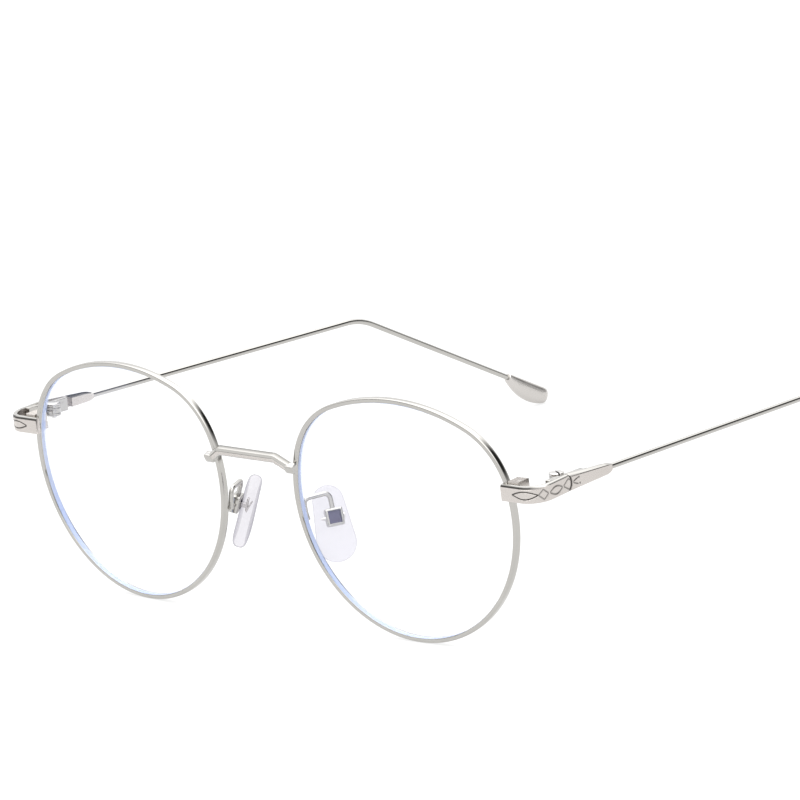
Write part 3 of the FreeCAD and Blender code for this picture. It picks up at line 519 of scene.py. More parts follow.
class Stock:
    """A mesh in the making, in millimetres in its own axes."""

    def __init__(self) -> None:
        """Start with nothing."""
        self.bm = bmesh.new()
        # painted_shade: how far painted shade darkens the metal's colour at each vertex
        self.painted_shade = self.bm.verts.layers.float.new("painted_shade")

    def flat(self, corners: Iterable[Sequence[float]]) -> BMFace:
        """One flat face through a few corners."""
        return self.bm.faces.new([self.bm.verts.new(corner) for corner in corners])

    def added(self, before: set[BMVert]) -> list[BMVert]:
        """The vertices that weren't there before."""
        return [vert for vert in self.bm.verts if vert not in before]

    def disc(self, radius: float, place: Matrix, segments: int) -> BMFace:
        """One round face, square to local Z of its place."""
        made = bmesh.ops.create_circle(self.bm, cap_ends=True, segments=segments, radius=radius, matrix=place)
        return made["verts"][0].link_faces[0]

    def extrude(self, face: BMFace, step: Vector) -> BMFace:
        """Carry a face along a straight step.

        Args:
            face: the face; it stays as the piece's end cap only if it stood alone.
            step: how far it goes.

        Returns:
            The face where it ends.
        """
        joined = any(len(edge.link_faces) > 1 for edge in face.edges)
        made = bmesh.ops.extrude_face_region(self.bm, geom=[face])["geom"]
        bmesh.ops.translate(self.bm, vec=step, verts=[g for g in made if isinstance(g, BMVert)])
        if joined:
            bmesh.ops.delete(self.bm, geom=[face], context="FACES_ONLY")
        return [g for g in made if isinstance(g, BMFace)][0]

    def spin(self, face: BMFace, centre: Vector, axis: Vector, angle: float, steps: int) -> BMFace:
        """Carry a face round an axis.

        Args:
            face: the face.
            centre: a point on the axis.
            axis: the axis.
            angle: how far it turns, in radians.
            steps: edge loops that it leaves.

        Returns:
            The face where it ends.
        """
        made = bmesh.ops.spin(self.bm, geom=[face, *face.edges, *face.verts], cent=centre, axis=axis,
                              angle=angle, steps=steps)
        return [g for g in made["geom_last"] if isinstance(g, BMFace)][0]

    def lengthen(self, face: BMFace, stations: Sequence[float]) -> None:
        """Carry a face along local X from station to station."""
        for here, there in zip(stations, stations[1:]):
            face = self.extrude(face, Vector((there - here, 0, 0)))

    def bar(self, section: Sequence[Pair], stations: Sequence[float]) -> None:
        """A straight bar along local X with an edge loop at each station.

        Args:
            section: corners of its section, as Y and Z.
            stations: where its edge loops stand along X.
        """
        self.lengthen(self.flat((stations[0], y, z) for y, z in section), stations)

    def tube(self, points: Sequence[Vector], radius: float, bend: float, segments: int, steps: int) -> None:
        """Round wire through points in space.

        Args:
            points: both ends and the corners between them.
            radius: radius of the wire.
            bend: radius of every bend, along the wire's middle.
            segments: sides of its section.
            steps: edge loops in each bend.
        """
        heading = (points[1] - points[0]).normalized()
        place = Matrix.Translation(points[0]) @ heading.to_track_quat("Z", "Y").to_matrix().to_4x4()
        face = self.disc(radius, place, segments)
        here = points[0]
        for before, corner, after in zip(points, points[1:], points[2:]):
            towards, onwards = (corner - before).normalized(), (after - corner).normalized()
            angle = towards.angle(onwards)
            trim = bend * math.tan(angle / 2)
            face = self.extrude(face, corner - towards * trim - here)
            axis = towards.cross(onwards).normalized()
            centre = corner - towards * trim + axis.cross(towards) * bend
            face = self.spin(face, centre, axis, angle, steps)
            here = corner + onwards * trim
        self.extrude(face, points[-1] - here)

    def block(self, low: Sequence[float], high: Sequence[float], round_off: float, segments: int = 3) -> None:
        """A block with its edges rounded.

        Args:
            low: its lowest corner.
            high: its highest corner.
            round_off: how far its edges are rounded.
            segments: steps in each rounded edge.
        """
        middle = [(a + b) / 2 for a, b in zip(low, high)]
        size = [b - a for a, b in zip(low, high)]
        place = Matrix.Translation(middle) @ Matrix.Diagonal((*size, 1))
        made = bmesh.ops.create_cube(self.bm, size=1.0, matrix=place)["verts"]
        self.round_edges({edge for vert in made for edge in vert.link_edges}, round_off, segments)

    def rod(self, radius: float, low: float, high: float, round_off: float, place: Matrix = NOWHERE) -> None:
        """A rod along local Z of its place with its rims rounded.

        Args:
            radius: radius of the rod.
            low: height of its lower end.
            high: height of its upper end.
            round_off: how far its rims are rounded.
            place: where it stands.
        """
        face = self.disc(radius, place @ moved(0, 0, low), TURNED_SIDES)
        rims = set(face.edges)
        top = self.extrude(face, place.to_3x3() @ Vector((0, 0, high - low)))
        self.round_edges(rims | set(top.edges), round_off)

    def lathe(self, profile: Sequence[Pair], place: Matrix = NOWHERE, steps: int = TURNED_SIDES) -> None:
        """A turned piece.

        Args:
            profile: radius and height from axis to axis; it is spun about local Z.
            place: where the piece stands.
            steps: sides of the turned shape.
        """
        before = set(self.bm.verts)
        verts = [self.bm.verts.new((radius, 0, height)) for radius, height in profile]
        edges = [self.bm.edges.new(pair) for pair in zip(verts, verts[1:])]
        bmesh.ops.spin(self.bm, geom=[*verts, *edges], cent=(0, 0, 0), axis=(0, 0, 1),
                       angle=2 * math.pi, steps=steps, use_merge=True)
        bmesh.ops.remove_doubles(self.bm, verts=self.added(before), dist=DOUBLES)
        bmesh.ops.transform(self.bm, matrix=place, verts=self.added(before))

    def slotted_head(self, radius: float, height: float, slot: float, depth: float, place: Matrix) -> None:
        """A domed screw head with a slot sawn across it.

        Args:
            radius: radius of the head.
            height: height of the dome's crown.
            slot: width of the slot.
            depth: depth of the slot.
            place: where the head's underside stands; local Z is its axis.
        """
        before = set(self.bm.verts)
        arc = [math.radians(90 * i / 6) for i in range(7)]
        rounded = 0.45 * height
        dome = [(radius - rounded + rounded * math.cos(a), 0.4 * height + rounded * math.sin(a)) for a in arc]
        self.lathe([(0, 0), (radius, 0), *dome, (radius * 0.5, height * 0.95), (0, height)])
        head = self.added(before)
        lip = slot / 2 - 0.02
        for edge in (-slot / 2, -lip, lip, slot / 2):
            around = {e for v in head for e in v.link_edges} | {f for v in head for f in v.link_faces}
            bmesh.ops.bisect_plane(self.bm, geom=head + list(around), dist=1e-5,
                                   plane_co=(0, edge, 0), plane_no=(0, 1, 0))
            head = self.added(before)
        for vert in head:
            if abs(vert.co.y) < lip + DOUBLES and vert.co.z > height * 0.3:
                vert.co.z = min(vert.co.z, height - depth)
                # painted shade on the floor of the slot
                vert[self.painted_shade] = 1.0
        bmesh.ops.transform(self.bm, matrix=place, verts=head)

    def round_edges(self, edges: Iterable[BMEdge], width: float, segments: int = 3) -> None:
        """Round off some edges."""
        bmesh.ops.bevel(self.bm, geom=list(edges), offset=width, offset_type="OFFSET", affect="EDGES",
                        segments=segments, profile=0.5, material=-1, clamp_overlap=True)

    def bend_along(self, track: Track) -> None:
        """Lay a bar along a track: local X runs along it and local Z stands to its left."""
        for vert in self.bm.verts:
            spot = track.at(vert.co.x, vert.co.z)
            vert.co = (spot.x, vert.co.y, spot.y)

    def paint(self, chosen: Callable[[BMFace], bool]) -> None:
        """Give the faces that a test picks the second material."""
        self.bm.normal_update()
        for face in self.bm.faces:
            if chosen(face):
                face.material_index = 1

    def finish(self, name: str, place: Matrix, materials: Sequence[Material],
               crease: float = CREASE) -> Object:
        """Close the mesh, stand it in the row frame and make its object.

        Args:
            name: the object's name.
            place: where it stands, in millimetres.
            materials: its material slots.
            crease: edges sharper than this many degrees stay sharp.

        Returns:
            The object, at the origin, with its place in its mesh.
        """
        bmesh.ops.remove_doubles(self.bm, verts=self.bm.verts, dist=DOUBLES)
        bmesh.ops.transform(self.bm, matrix=Matrix.Diagonal((METRES, METRES, METRES, 1)) @ place,
                            verts=self.bm.verts)
        bmesh.ops.recalc_face_normals(self.bm, faces=self.bm.faces)
        mesh = bpy.data.meshes.new(name)
        self.bm.to_mesh(mesh)
        self.bm.free()
        mesh.shade_smooth()
        mesh.set_sharp_from_angle(angle=math.radians(crease))
        for material in materials:
            mesh.materials.append(material)
        item = bpy.data.objects.new(name, mesh)
        bpy.context.scene.collection.objects.link(item)
        return item


def hand_over(item: Object, body: str, node: str) -> None:
    """Attach a finished piece to its body and hide the CAD node that it stands for."""
    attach(item, body)
    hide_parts(node)
    LOG.info("%s: %d faces, rides on %s", item.name, len(item.data.polygons), body)


@dataclass
class Half:
    """A sub-assembly of one half of the spectacles."""

    side: Side
    palette: Palette

    def deliver(self, stock: Stock, name: str, node: str, slot: str, place: Matrix, *finishes: Material,
                body: str = "front", crease: float = CREASE) -> None:
        """Finish a piece on this half and hand it over.

        Args:
            stock: its mesh.
            name: its name, without the side.
            node: the CAD node that it stands for, without the side.
            slot: a name for its material slot; not used.
            place: where it stands on the left half, in millimetres.
            finishes: its materials.
            body: the body that it rides on.
            crease: edges sharper than this many degrees stay sharp.
        """
        item = stock.finish(self.side.named(name), self.side.mirrored(place), finishes, crease)
        hand_over(item, body, self.side.named(node))


# --------------------------------------------------------------------------- rims and their lenses

@dataclass
class Eyewire(Half):
    """One rim and its lens."""

    shoulder_roundness: float = 0.66
    shoulder_lift: float = 0.25
    arc_step: float = 1.5
    saw_cut: float = 0.14
    corner_round: float = 0.16
    crown: float = 0.07
    lip_round: float = 0.08
    groove: float = 0.35
    back_round: float = 0.3
    lens_thickness: float = 1.5
    lens_curve: float = 130.0
    lens_clearance: float = 0.03
    edge_inset: float = 0.25
    rings: int = 8

    def track(self) -> Track:
        """The bare lens outline as a track, anticlockwise from the saw cut.

        Returns:
            Its five arcs. The outer shoulder comes first and last, because the saw cut parts it.
        """
        half_width, half_height = LAYOUT.shoulder_width / 2, LAYOUT.lens_height / 2
        shoulder = self.shoulder_roundness * min(half_width, half_height)
        x, z = half_width - shoulder, self.shoulder_lift * half_height
        up, down = half_height - z, half_height + z
        top = (x * x + up * up - shoulder * shoulder) / (2 * (up - shoulder))
        bottom = (x * x + down * down - shoulder * shoulder) / (2 * (down - shoulder))
        top_turn = math.atan2(z - half_height + top, x)
        bottom_turn = math.atan2(z + half_height - bottom, x)
        cut_at = math.asin((LAYOUT.plate_level - z) / (half_width - x)) - math.radians(LAYOUT.lens_turn) / 2
        arcs = [(shoulder, top_turn - cut_at), (top, math.pi - 2 * top_turn),
                (shoulder, top_turn - bottom_turn), (bottom, math.pi + 2 * bottom_turn),
                (shoulder, cut_at - bottom_turn)]
        start = Vector((x, z)) + Vector((math.cos(cut_at), math.sin(cut_at))) * shoulder
        return Track(start, cut_at + math.pi / 2, [Leg(radius * sweep, sweep) for radius, sweep in arcs])

    def rim(self) -> None:
        """The rim wire: its section carried round the outline, with a groove for the lens."""
        stock = Stock()
        half, width, lip, crown = LAYOUT.rim_depth / 2, LAYOUT.rim_width, self.groove, self.crown
        face = stock.flat((0, y, r) for y, r in [
            (-half + crown, -width + crown), (0, -width), (half - crown, -width + crown),
            (half, -width * 0.6), (half, 0), (lip, 0), (0, -lip), (-lip, 0), (-half + crown, 0),
            (-half, -width * 0.4)])
        corners = list(face.verts)
        soft = [corners[0], corners[2], corners[9]]
        lips, back = (corners[4], corners[8]), (corners[1],)
        for chosen, size in ((soft, self.corner_round), (lips, self.lip_round), (back, self.back_round)):
            bmesh.ops.bevel(stock.bm, geom=list(chosen), offset=size, affect="VERTICES", segments=4,
                            profile=0.5, material=-1)
        track = self.track()
        marks = track.stations(self.arc_step)
        marks[0], marks[-1] = self.saw_cut / 2, track.length - self.saw_cut / 2
        bmesh.ops.translate(stock.bm, vec=(marks[0], 0, 0), verts=stock.bm.verts)
        stock.lengthen(list(stock.bm.faces)[0], marks)
        stock.bend_along(track)
        self.deliver(stock, "eyewire", "rim", "polished_metal", LAYOUT.outline(), self.palette.bright,
                     crease=25.0)

    def lens(self) -> None:
        """The lens: a domed disc with a ground edge that stands in the rim's groove."""
        stock = Stock()
        track = self.track()
        spots = [track.at(mark, self.lens_clearance) for mark in track.stations(self.arc_step)[:-1]]
        whole = face = stock.flat((spot.x, 0, spot.y) for spot in spots)
        for ring in range(self.rings):
            face = stock.extrude(face, Vector())
            if ring == 0:
                bmesh.ops.delete(stock.bm, geom=[whole], context="FACES_ONLY")
            shrink = 1 - 1 / (self.rings + 1 - ring)
            bmesh.ops.scale(stock.bm, vec=(shrink, 1, shrink), verts=face.verts)
        front = list(stock.bm.verts)
        bmesh.ops.duplicate(stock.bm, geom=list(stock.bm.faces))
        back = stock.added(set(front))
        middle = self.lens_curve - self.lens_thickness / 2
        reach = (LAYOUT.shoulder_width + LAYOUT.lens_height) / 4
        centre = math.sqrt(middle ** 2 - reach ** 2)
        outer = self.lens_curve - self.edge_inset
        inner = outer - self.lens_thickness + 2 * self.edge_inset
        for verts, radius in ((front, outer), (back, inner)):
            for vert in verts:
                vert.co.y = centre - math.sqrt(radius ** 2 - vert.co.x ** 2 - vert.co.z ** 2)
        rims = [edge for edge in stock.bm.edges if edge.is_boundary]
        for face in bmesh.ops.bridge_loops(stock.bm, edges=rims)["faces"]:
            face.material_index = 1
        self.deliver(stock, "coated_lens", "lens", "lens", LAYOUT.outline(), self.palette.lens,
                     self.palette.edge)

    def build(self) -> None:
        """Build and dress the rim and the lens."""
        self.rim()
        self.lens()


# ------------------------------------------------------------------------------------------ bridge

@dataclass
class Bridge:
    """The bridge bar, with a bright bevel over a milled line and a satin front."""

    palette: Palette
    height: float = 1.5
    depth: float = 1.55
    flat: float = 14.4
    run: float = 3.0
    drop: float = 2.0
    stub: float = 1.1
    lean: float = 22.0
    level: float = 8.35
    bend: float = 0.9
    edge_round: float = 0.3
    bevel_fall: float = 0.36
    bevel_run: float = 0.42
    line_width: float = 0.12
    line_depth: float = 0.1
    line_shade: float = 0.9
    edge_shade: float = 0.65
    pad_length: float = 2.0
    pad_height: float = 1.8
    pad_round: float = 0.42

    def section(self) -> list[Pair]:
        """Corners of the bar's section, as depth and height."""
        y, z, soft = self.depth / 2, self.height / 2, self.edge_round
        seam = z - self.bevel_fall
        return [
            (-y + self.bevel_run, z), (-y + 0.04, seam), (-y + self.line_depth, seam - self.line_width / 2),
            (-y, seam - self.line_width), (-y, -z + soft), (-y + soft * 0.3, -z + soft * 0.3),
            (-y + soft, -z), (y - soft, -z), (y - soft * 0.3, -z + soft * 0.3), (y, -z + soft),
            (y, z - soft), (y - soft * 0.3, z - soft * 0.3), (y - soft, z)]

    def shade(self, y: float, z: float) -> float:
        """Painted shade at a point of the section: in the milled line, and a painted dark reflection along
        the top rear edge.
        """
        if abs(y + self.depth / 2 - self.line_depth) < DOUBLES and z > 0:
            return self.line_shade
        return self.edge_shade if y > 0 and z > self.height / 2 - self.edge_round / 2 else 0.0

    def build(self) -> None:
        """Build and dress the bridge."""
        near, far = self.flat / 2, self.flat / 2 + self.run
        end = far + self.stub
        track = Track.through([(-end, -self.drop), (-far, -self.drop), (-near, 0), (near, 0),
                               (far, -self.drop), (end, -self.drop)], self.bend)
        stock = Stock()
        stock.bar(self.section(), track.stations(8))
        stock.paint(lambda face: face.normal.y < -0.95)
        # painted shade in the milled line, and a painted dark reflection along the top rear edge
        for vert in stock.bm.verts:
            vert[stock.painted_shade] = self.shade(vert.co.y, vert.co.z)
        stock.bend_along(track)
        wrap = math.radians(LAYOUT.wrap)
        half = LAYOUT.shoulder_width / 2 + LAYOUT.rim_width
        front = -half * math.sin(wrap) - LAYOUT.rim_depth / 2 * math.cos(wrap)
        seat = front - self.depth / 2 / math.cos(math.radians(self.lean)) - SOLDER
        place = LAYOUT.front() @ moved(0, seat, self.level) @ spun("X", self.lean) @ moved(0, 0, self.drop)
        for side in (-1, 1):
            near, far = sorted((side * (end - self.pad_length), side * (end + 0.3)))
            stock.block((near, -self.depth / 2 - 0.08, -self.drop - self.pad_height / 2),
                        (far, self.depth / 2, -self.drop + self.pad_height / 2), self.pad_round, 4)
        item = stock.finish("bridge_bar", place, [self.palette.bright, self.palette.satin])
        hand_over(item, "front", "bridge")


# ------------------------------------------------------------------- endpiece, hinge and closing

class Motif(Enum):
    """How two engraved strands part."""

    OVAL = "oval"
    DIAMOND = "diamond"
    FORK = "fork"


@dataclass(frozen=True)
class Link:
    """One link of the engraved chain: two strands that part, and meet again unless they fork."""

    start: float
    end: float
    height: float
    motif: Motif = Motif.OVAL
    weight: float = 0.65

    def spread(self, along: float) -> float:
        """How far each strand stands from the middle, or -1 outside the link."""
        part = (along - self.start) / (self.end - self.start)
        if not 0 <= part <= 1:
            return -1.0
        if self.motif is Motif.FORK:
            return self.height * part ** 0.7
        if self.motif is Motif.DIAMOND:
            return self.height * (1 - abs(2 * part - 1))
        return self.height * math.sin(math.pi * part)

    def slope(self, along: float, step: float = 0.05) -> float:
        """How steeply the strands run."""
        after = self.spread(min(along + step, self.end))
        return (after - self.spread(max(along - step, self.start))) / (2 * step)


@dataclass(frozen=True)
class Engraving:
    """A chain of links cut into the flat of the endpiece and of the temple bar."""

    links: tuple[Link, ...]
    dots: tuple[Pair, ...] = ()
    middle: float = -0.1
    line: float = 0.17
    depth: float = 0.13
    dot: float = 0.22

    def cut(self, along: float, up: float) -> float:
        """How deep the surface is cut, from 0 to 1 for a whole line."""
        deepest = 0.0
        for link in self.links:
            spread = link.spread(along)
            if spread >= 0:
                off = abs(abs(up - self.middle) - spread) / math.hypot(1, link.slope(along))
                deepest = max(deepest, link.weight * self.groove(off, self.line))
        for place, height in self.dots:
            deepest = max(deepest, self.groove(math.hypot(along - place, up - height), self.dot))
        return deepest

    @staticmethod
    def groove(off: float, width: float) -> float:
        """A rounded groove's depth at a distance from its middle, from 0 to 1."""
        return max(0.0, 1 - (off / width) ** 2)


def flat_side(low: float, high: float, grid: float) -> list[Pair]:
    """The outer side of an engraved section, cut fine enough to hold its lines."""
    count = round((high - low) / grid)
    return [(0.0, low + (high - low) * i / count) for i in range(count + 1)]


@dataclass(frozen=True)
class Hinge:
    """What the two halves of a hinge share. Sizes are in millimetres."""

    plate: float = 0.95
    knuckle: float = 1.4
    barrel: float = 3.0
    middle: float = 1.0
    gap: float = 0.04
    play: float = 0.1
    leaf_length: float = 5.0
    leaf_height: float = 2.6
    leaf_round: float = 0.12
    lobe_cut: float = 0.44
    head_seat: float = 0.42

    def back(self) -> float:
        """Inner face of the plate that a leaf is brazed to, from the hinge's axis."""
        return LAYOUT.hinge_inset - self.plate - SOLDER


HINGE = Hinge()


@dataclass
class Corner(Half):
    """One endpiece with its closing blocks, rim screw and the fixed half of the hinge."""

    height: float = 3.2
    overhang: float = 0.35
    bend: float = 4.2
    nose: float = 1.9
    facet: float = 0.34
    skin: float = 0.055
    grid: float = 0.085
    milled_end: float = 9.8
    milled_fade: float = 3.0
    milled_drop: float = 0.03
    milled_width: float = 0.28
    butt_length: float = 1.0
    block_width: float = 2.2
    block_depth: float = 3.0
    upper_block: float = 1.9
    lower_block: float = 1.5
    block_lap: float = 0.5
    block_spare: float = 0.3
    teeth: int = 7
    tooth: float = 0.17
    split: float = 0.14
    seam: float = 0.42
    chain: Engraving = Engraving((
        Link(2.7, 8.3, 0.72, weight=1.0), Link(8.3, 10.4, 0.95, Motif.DIAMOND), Link(10.7, 14.3, 0.72),
        Link(14.5, 17.5, 1.0, Motif.DIAMOND)))

    def face_track(self) -> Track:
        """The outer face in plan, from the rim back to where the hinge's axis stands."""
        back = LAYOUT.hinge_setback - LAYOUT.rim_corner().y
        toe = math.tan(math.radians(LAYOUT.toe))
        front = -HINGE.plate - SOLDER
        corner = Vector((LAYOUT.endpiece_reach + toe * (back - front), front))
        turn = math.radians(90 + LAYOUT.toe)
        trim = self.bend * math.tan(turn / 2)
        level = Vector((LAYOUT.endpiece_reach, back + LAYOUT.hinge_inset * toe))
        legs = [Leg(corner.x + self.overhang - trim), Leg(self.bend * turn, turn),
                Leg((level - corner).length - trim)]
        return Track(Vector((-self.overhang, front)), 0.0, legs)

    def section(self) -> list[Pair]:
        """Corners of the plate's section as depth and height, its outer face cut fine."""
        top, soft, edge, back = self.height / 2, 0.2, 0.12, HINGE.plate
        high = top - self.facet
        return [(soft * 0.3, -top + soft * 0.3), *flat_side(-top + soft, high, self.grid),
                (0.05, high + 0.05), (0.26, top - 0.04), (0.36, top), (back - edge, top), (back, top - edge),
                (back, -top + edge), (back - edge, -top), (soft, -top)]

    def endpiece(self) -> None:
        """The plate: engraved in the flat, bent round the corner, with a rounded butt."""
        track = self.face_track()
        stock = Stock()
        count = round(track.length / self.grid)
        stock.bar(self.section(), [track.length * i / count for i in range(count + 1)])
        stock.paint(lambda face: face.calc_center_median().z > self.height / 2 - self.facet)
        drop = math.radians(LAYOUT.temple_drop)
        reach = self.nose + HINGE.play / 2
        centre = Vector((track.length - reach * math.cos(drop), reach * math.sin(drop)))
        butt = centre.x - self.butt_length
        for vert in stock.bm.verts:
            run, deep, up = vert.co
            end = centre.x + math.sqrt(self.nose ** 2 - (up - centre.y) ** 2)
            if run > butt - 1e-6:
                run = butt + (run - butt) * (end - butt) / (track.length - butt)
            cut = 0.0
            if deep < self.skin:
                seat = self.height / 2 - self.facet + self.milled_drop
                under = Engraving.groove(up - seat, self.milled_width)
                fade = min(max((self.milled_end - run) / self.milled_fade, 0), 1)
                closing = max(1 - abs(run - end) / self.seam, 0) if run > butt else 0
                cut = max(self.chain.cut(run, up), under * fade, closing)
            # cut also paints shade: the engraved chain, the milled line under the facet and the closing seam
            # at the butt are darkened as painted shade
            vert[stock.painted_shade] = cut
            spot = track.at(run, deep + self.chain.depth * cut)
            vert.co = (spot.x, spot.y, up)
        self.deliver(stock, "engraved_endpiece", "endpiece", "satin_metal", LAYOUT.endpiece(),
                     self.palette.satin, self.palette.bright)

    def block_start(self) -> float:
        """Inner side of the closing blocks from the lens centre."""
        turned = LAYOUT.plate_level * math.sin(math.radians(LAYOUT.lens_turn))
        return LAYOUT.shoulder_width / 2 + LAYOUT.rim_width + turned + SOLDER

    def closing_block(self, name: str, low: float, high: float, toothed: bool) -> None:
        """One closing block, brazed half over the rim.

        Args:
            name: which of the two it is.
            low: level of its underside.
            high: level of its top.
            toothed: whether small teeth are filed across its top.
        """
        left = self.block_start() - self.block_lap
        right = left + self.block_width + self.block_spare
        front = -LAYOUT.rim_depth / 2 + SOLDER
        teeth, tooth = (self.teeth, self.tooth) if toothed else (1, 0.0)
        step = (right - left) / teeth
        top = [(right - step * i / 2, high - (tooth if i % 2 else 0)) for i in range(2 * teeth + 1)]
        stock = Stock()
        face = stock.flat((x, front, z) for x, z in [(left, low), (right, low), *top])
        sides = set(face.edges)
        stock.extrude(face, Vector((0, self.block_depth, 0)))
        walls = [e for e in stock.bm.edges if e not in sides and abs(e.verts[0].co.y - e.verts[1].co.y) > 1
                 and e.verts[0].co.z < high - 0.5]
        stock.round_edges(walls, 0.12)
        self.deliver(stock, f"closing_block_{name}_filed", f"closing_block_{name}", "satin_metal",
                     LAYOUT.lens(), self.palette.satin)

    def rim_screw(self) -> None:
        """The small slotted screw that holds the rim shut."""
        x = self.block_start() + self.block_width / 2
        y = (self.block_depth - LAYOUT.rim_depth) / 2
        top = LAYOUT.plate_level + self.split / 2 + self.upper_block + SOLDER - 0.4
        low = LAYOUT.plate_level - self.split / 2 - self.lower_block
        stock = Stock()
        stock.rod(0.45, low, top, 0.05, moved(x, y, 0))
        stock.slotted_head(0.75, 0.34, 0.24, 0.2, moved(x, y, top) @ spun("Z", 35))
        self.deliver(stock, "rim_screw_slotted", "rim_screw", "screws", LAYOUT.lens(), self.palette.steel)

    def hinge_front(self) -> None:
        """The fixed leaf and its two knuckles, polished all over."""
        back, outer, inner = HINGE.back(), HINGE.barrel / 2 - HINGE.lobe_cut, HINGE.middle / 2 + HINGE.gap
        stock = Stock()
        stock.block((HINGE.knuckle + HINGE.gap, -HINGE.leaf_length, -HINGE.leaf_height / 2),
                    (back, -HINGE.play, HINGE.leaf_height / 2), HINGE.leaf_round)
        for low, high in ((-outer, -inner), (inner, outer)):
            stock.rod(HINGE.knuckle, low, high, 0.12)
            stock.block((0, -HINGE.knuckle, low), (back, -HINGE.play, high), 0.06)
        self.deliver(stock, "hinge_fixed_half", "hinge_front", "polished_metal", LAYOUT.hinge(),
                     self.palette.bright)

    def hinge_screw(self) -> None:
        """The hinge's axle screw with a domed, slotted head."""
        stock = Stock()
        top = HINGE.barrel / 2 - HINGE.head_seat
        stock.rod(0.5, -HINGE.barrel / 2, top, 0.06)
        stock.slotted_head(1.45, 0.55, 0.36, 0.3, moved(0, 0, top) @ spun("Z", -30))
        self.deliver(stock, "hinge_screw_slotted", "hinge_screw", "screws", LAYOUT.hinge(),
                     self.palette.steel)

    def build(self) -> None:
        """Build and dress the whole corner."""
        self.endpiece()
        upper, lower = LAYOUT.plate_level + self.split / 2, LAYOUT.plate_level - self.split / 2
        self.closing_block("upper", upper, upper + self.upper_block, True)
        self.closing_block("lower", lower - self.lower_block, lower, False)
        self.rim_screw()
        self.hinge_front()
        self.hinge_screw()


# ---------------------------------------------------------------------------------------- temples

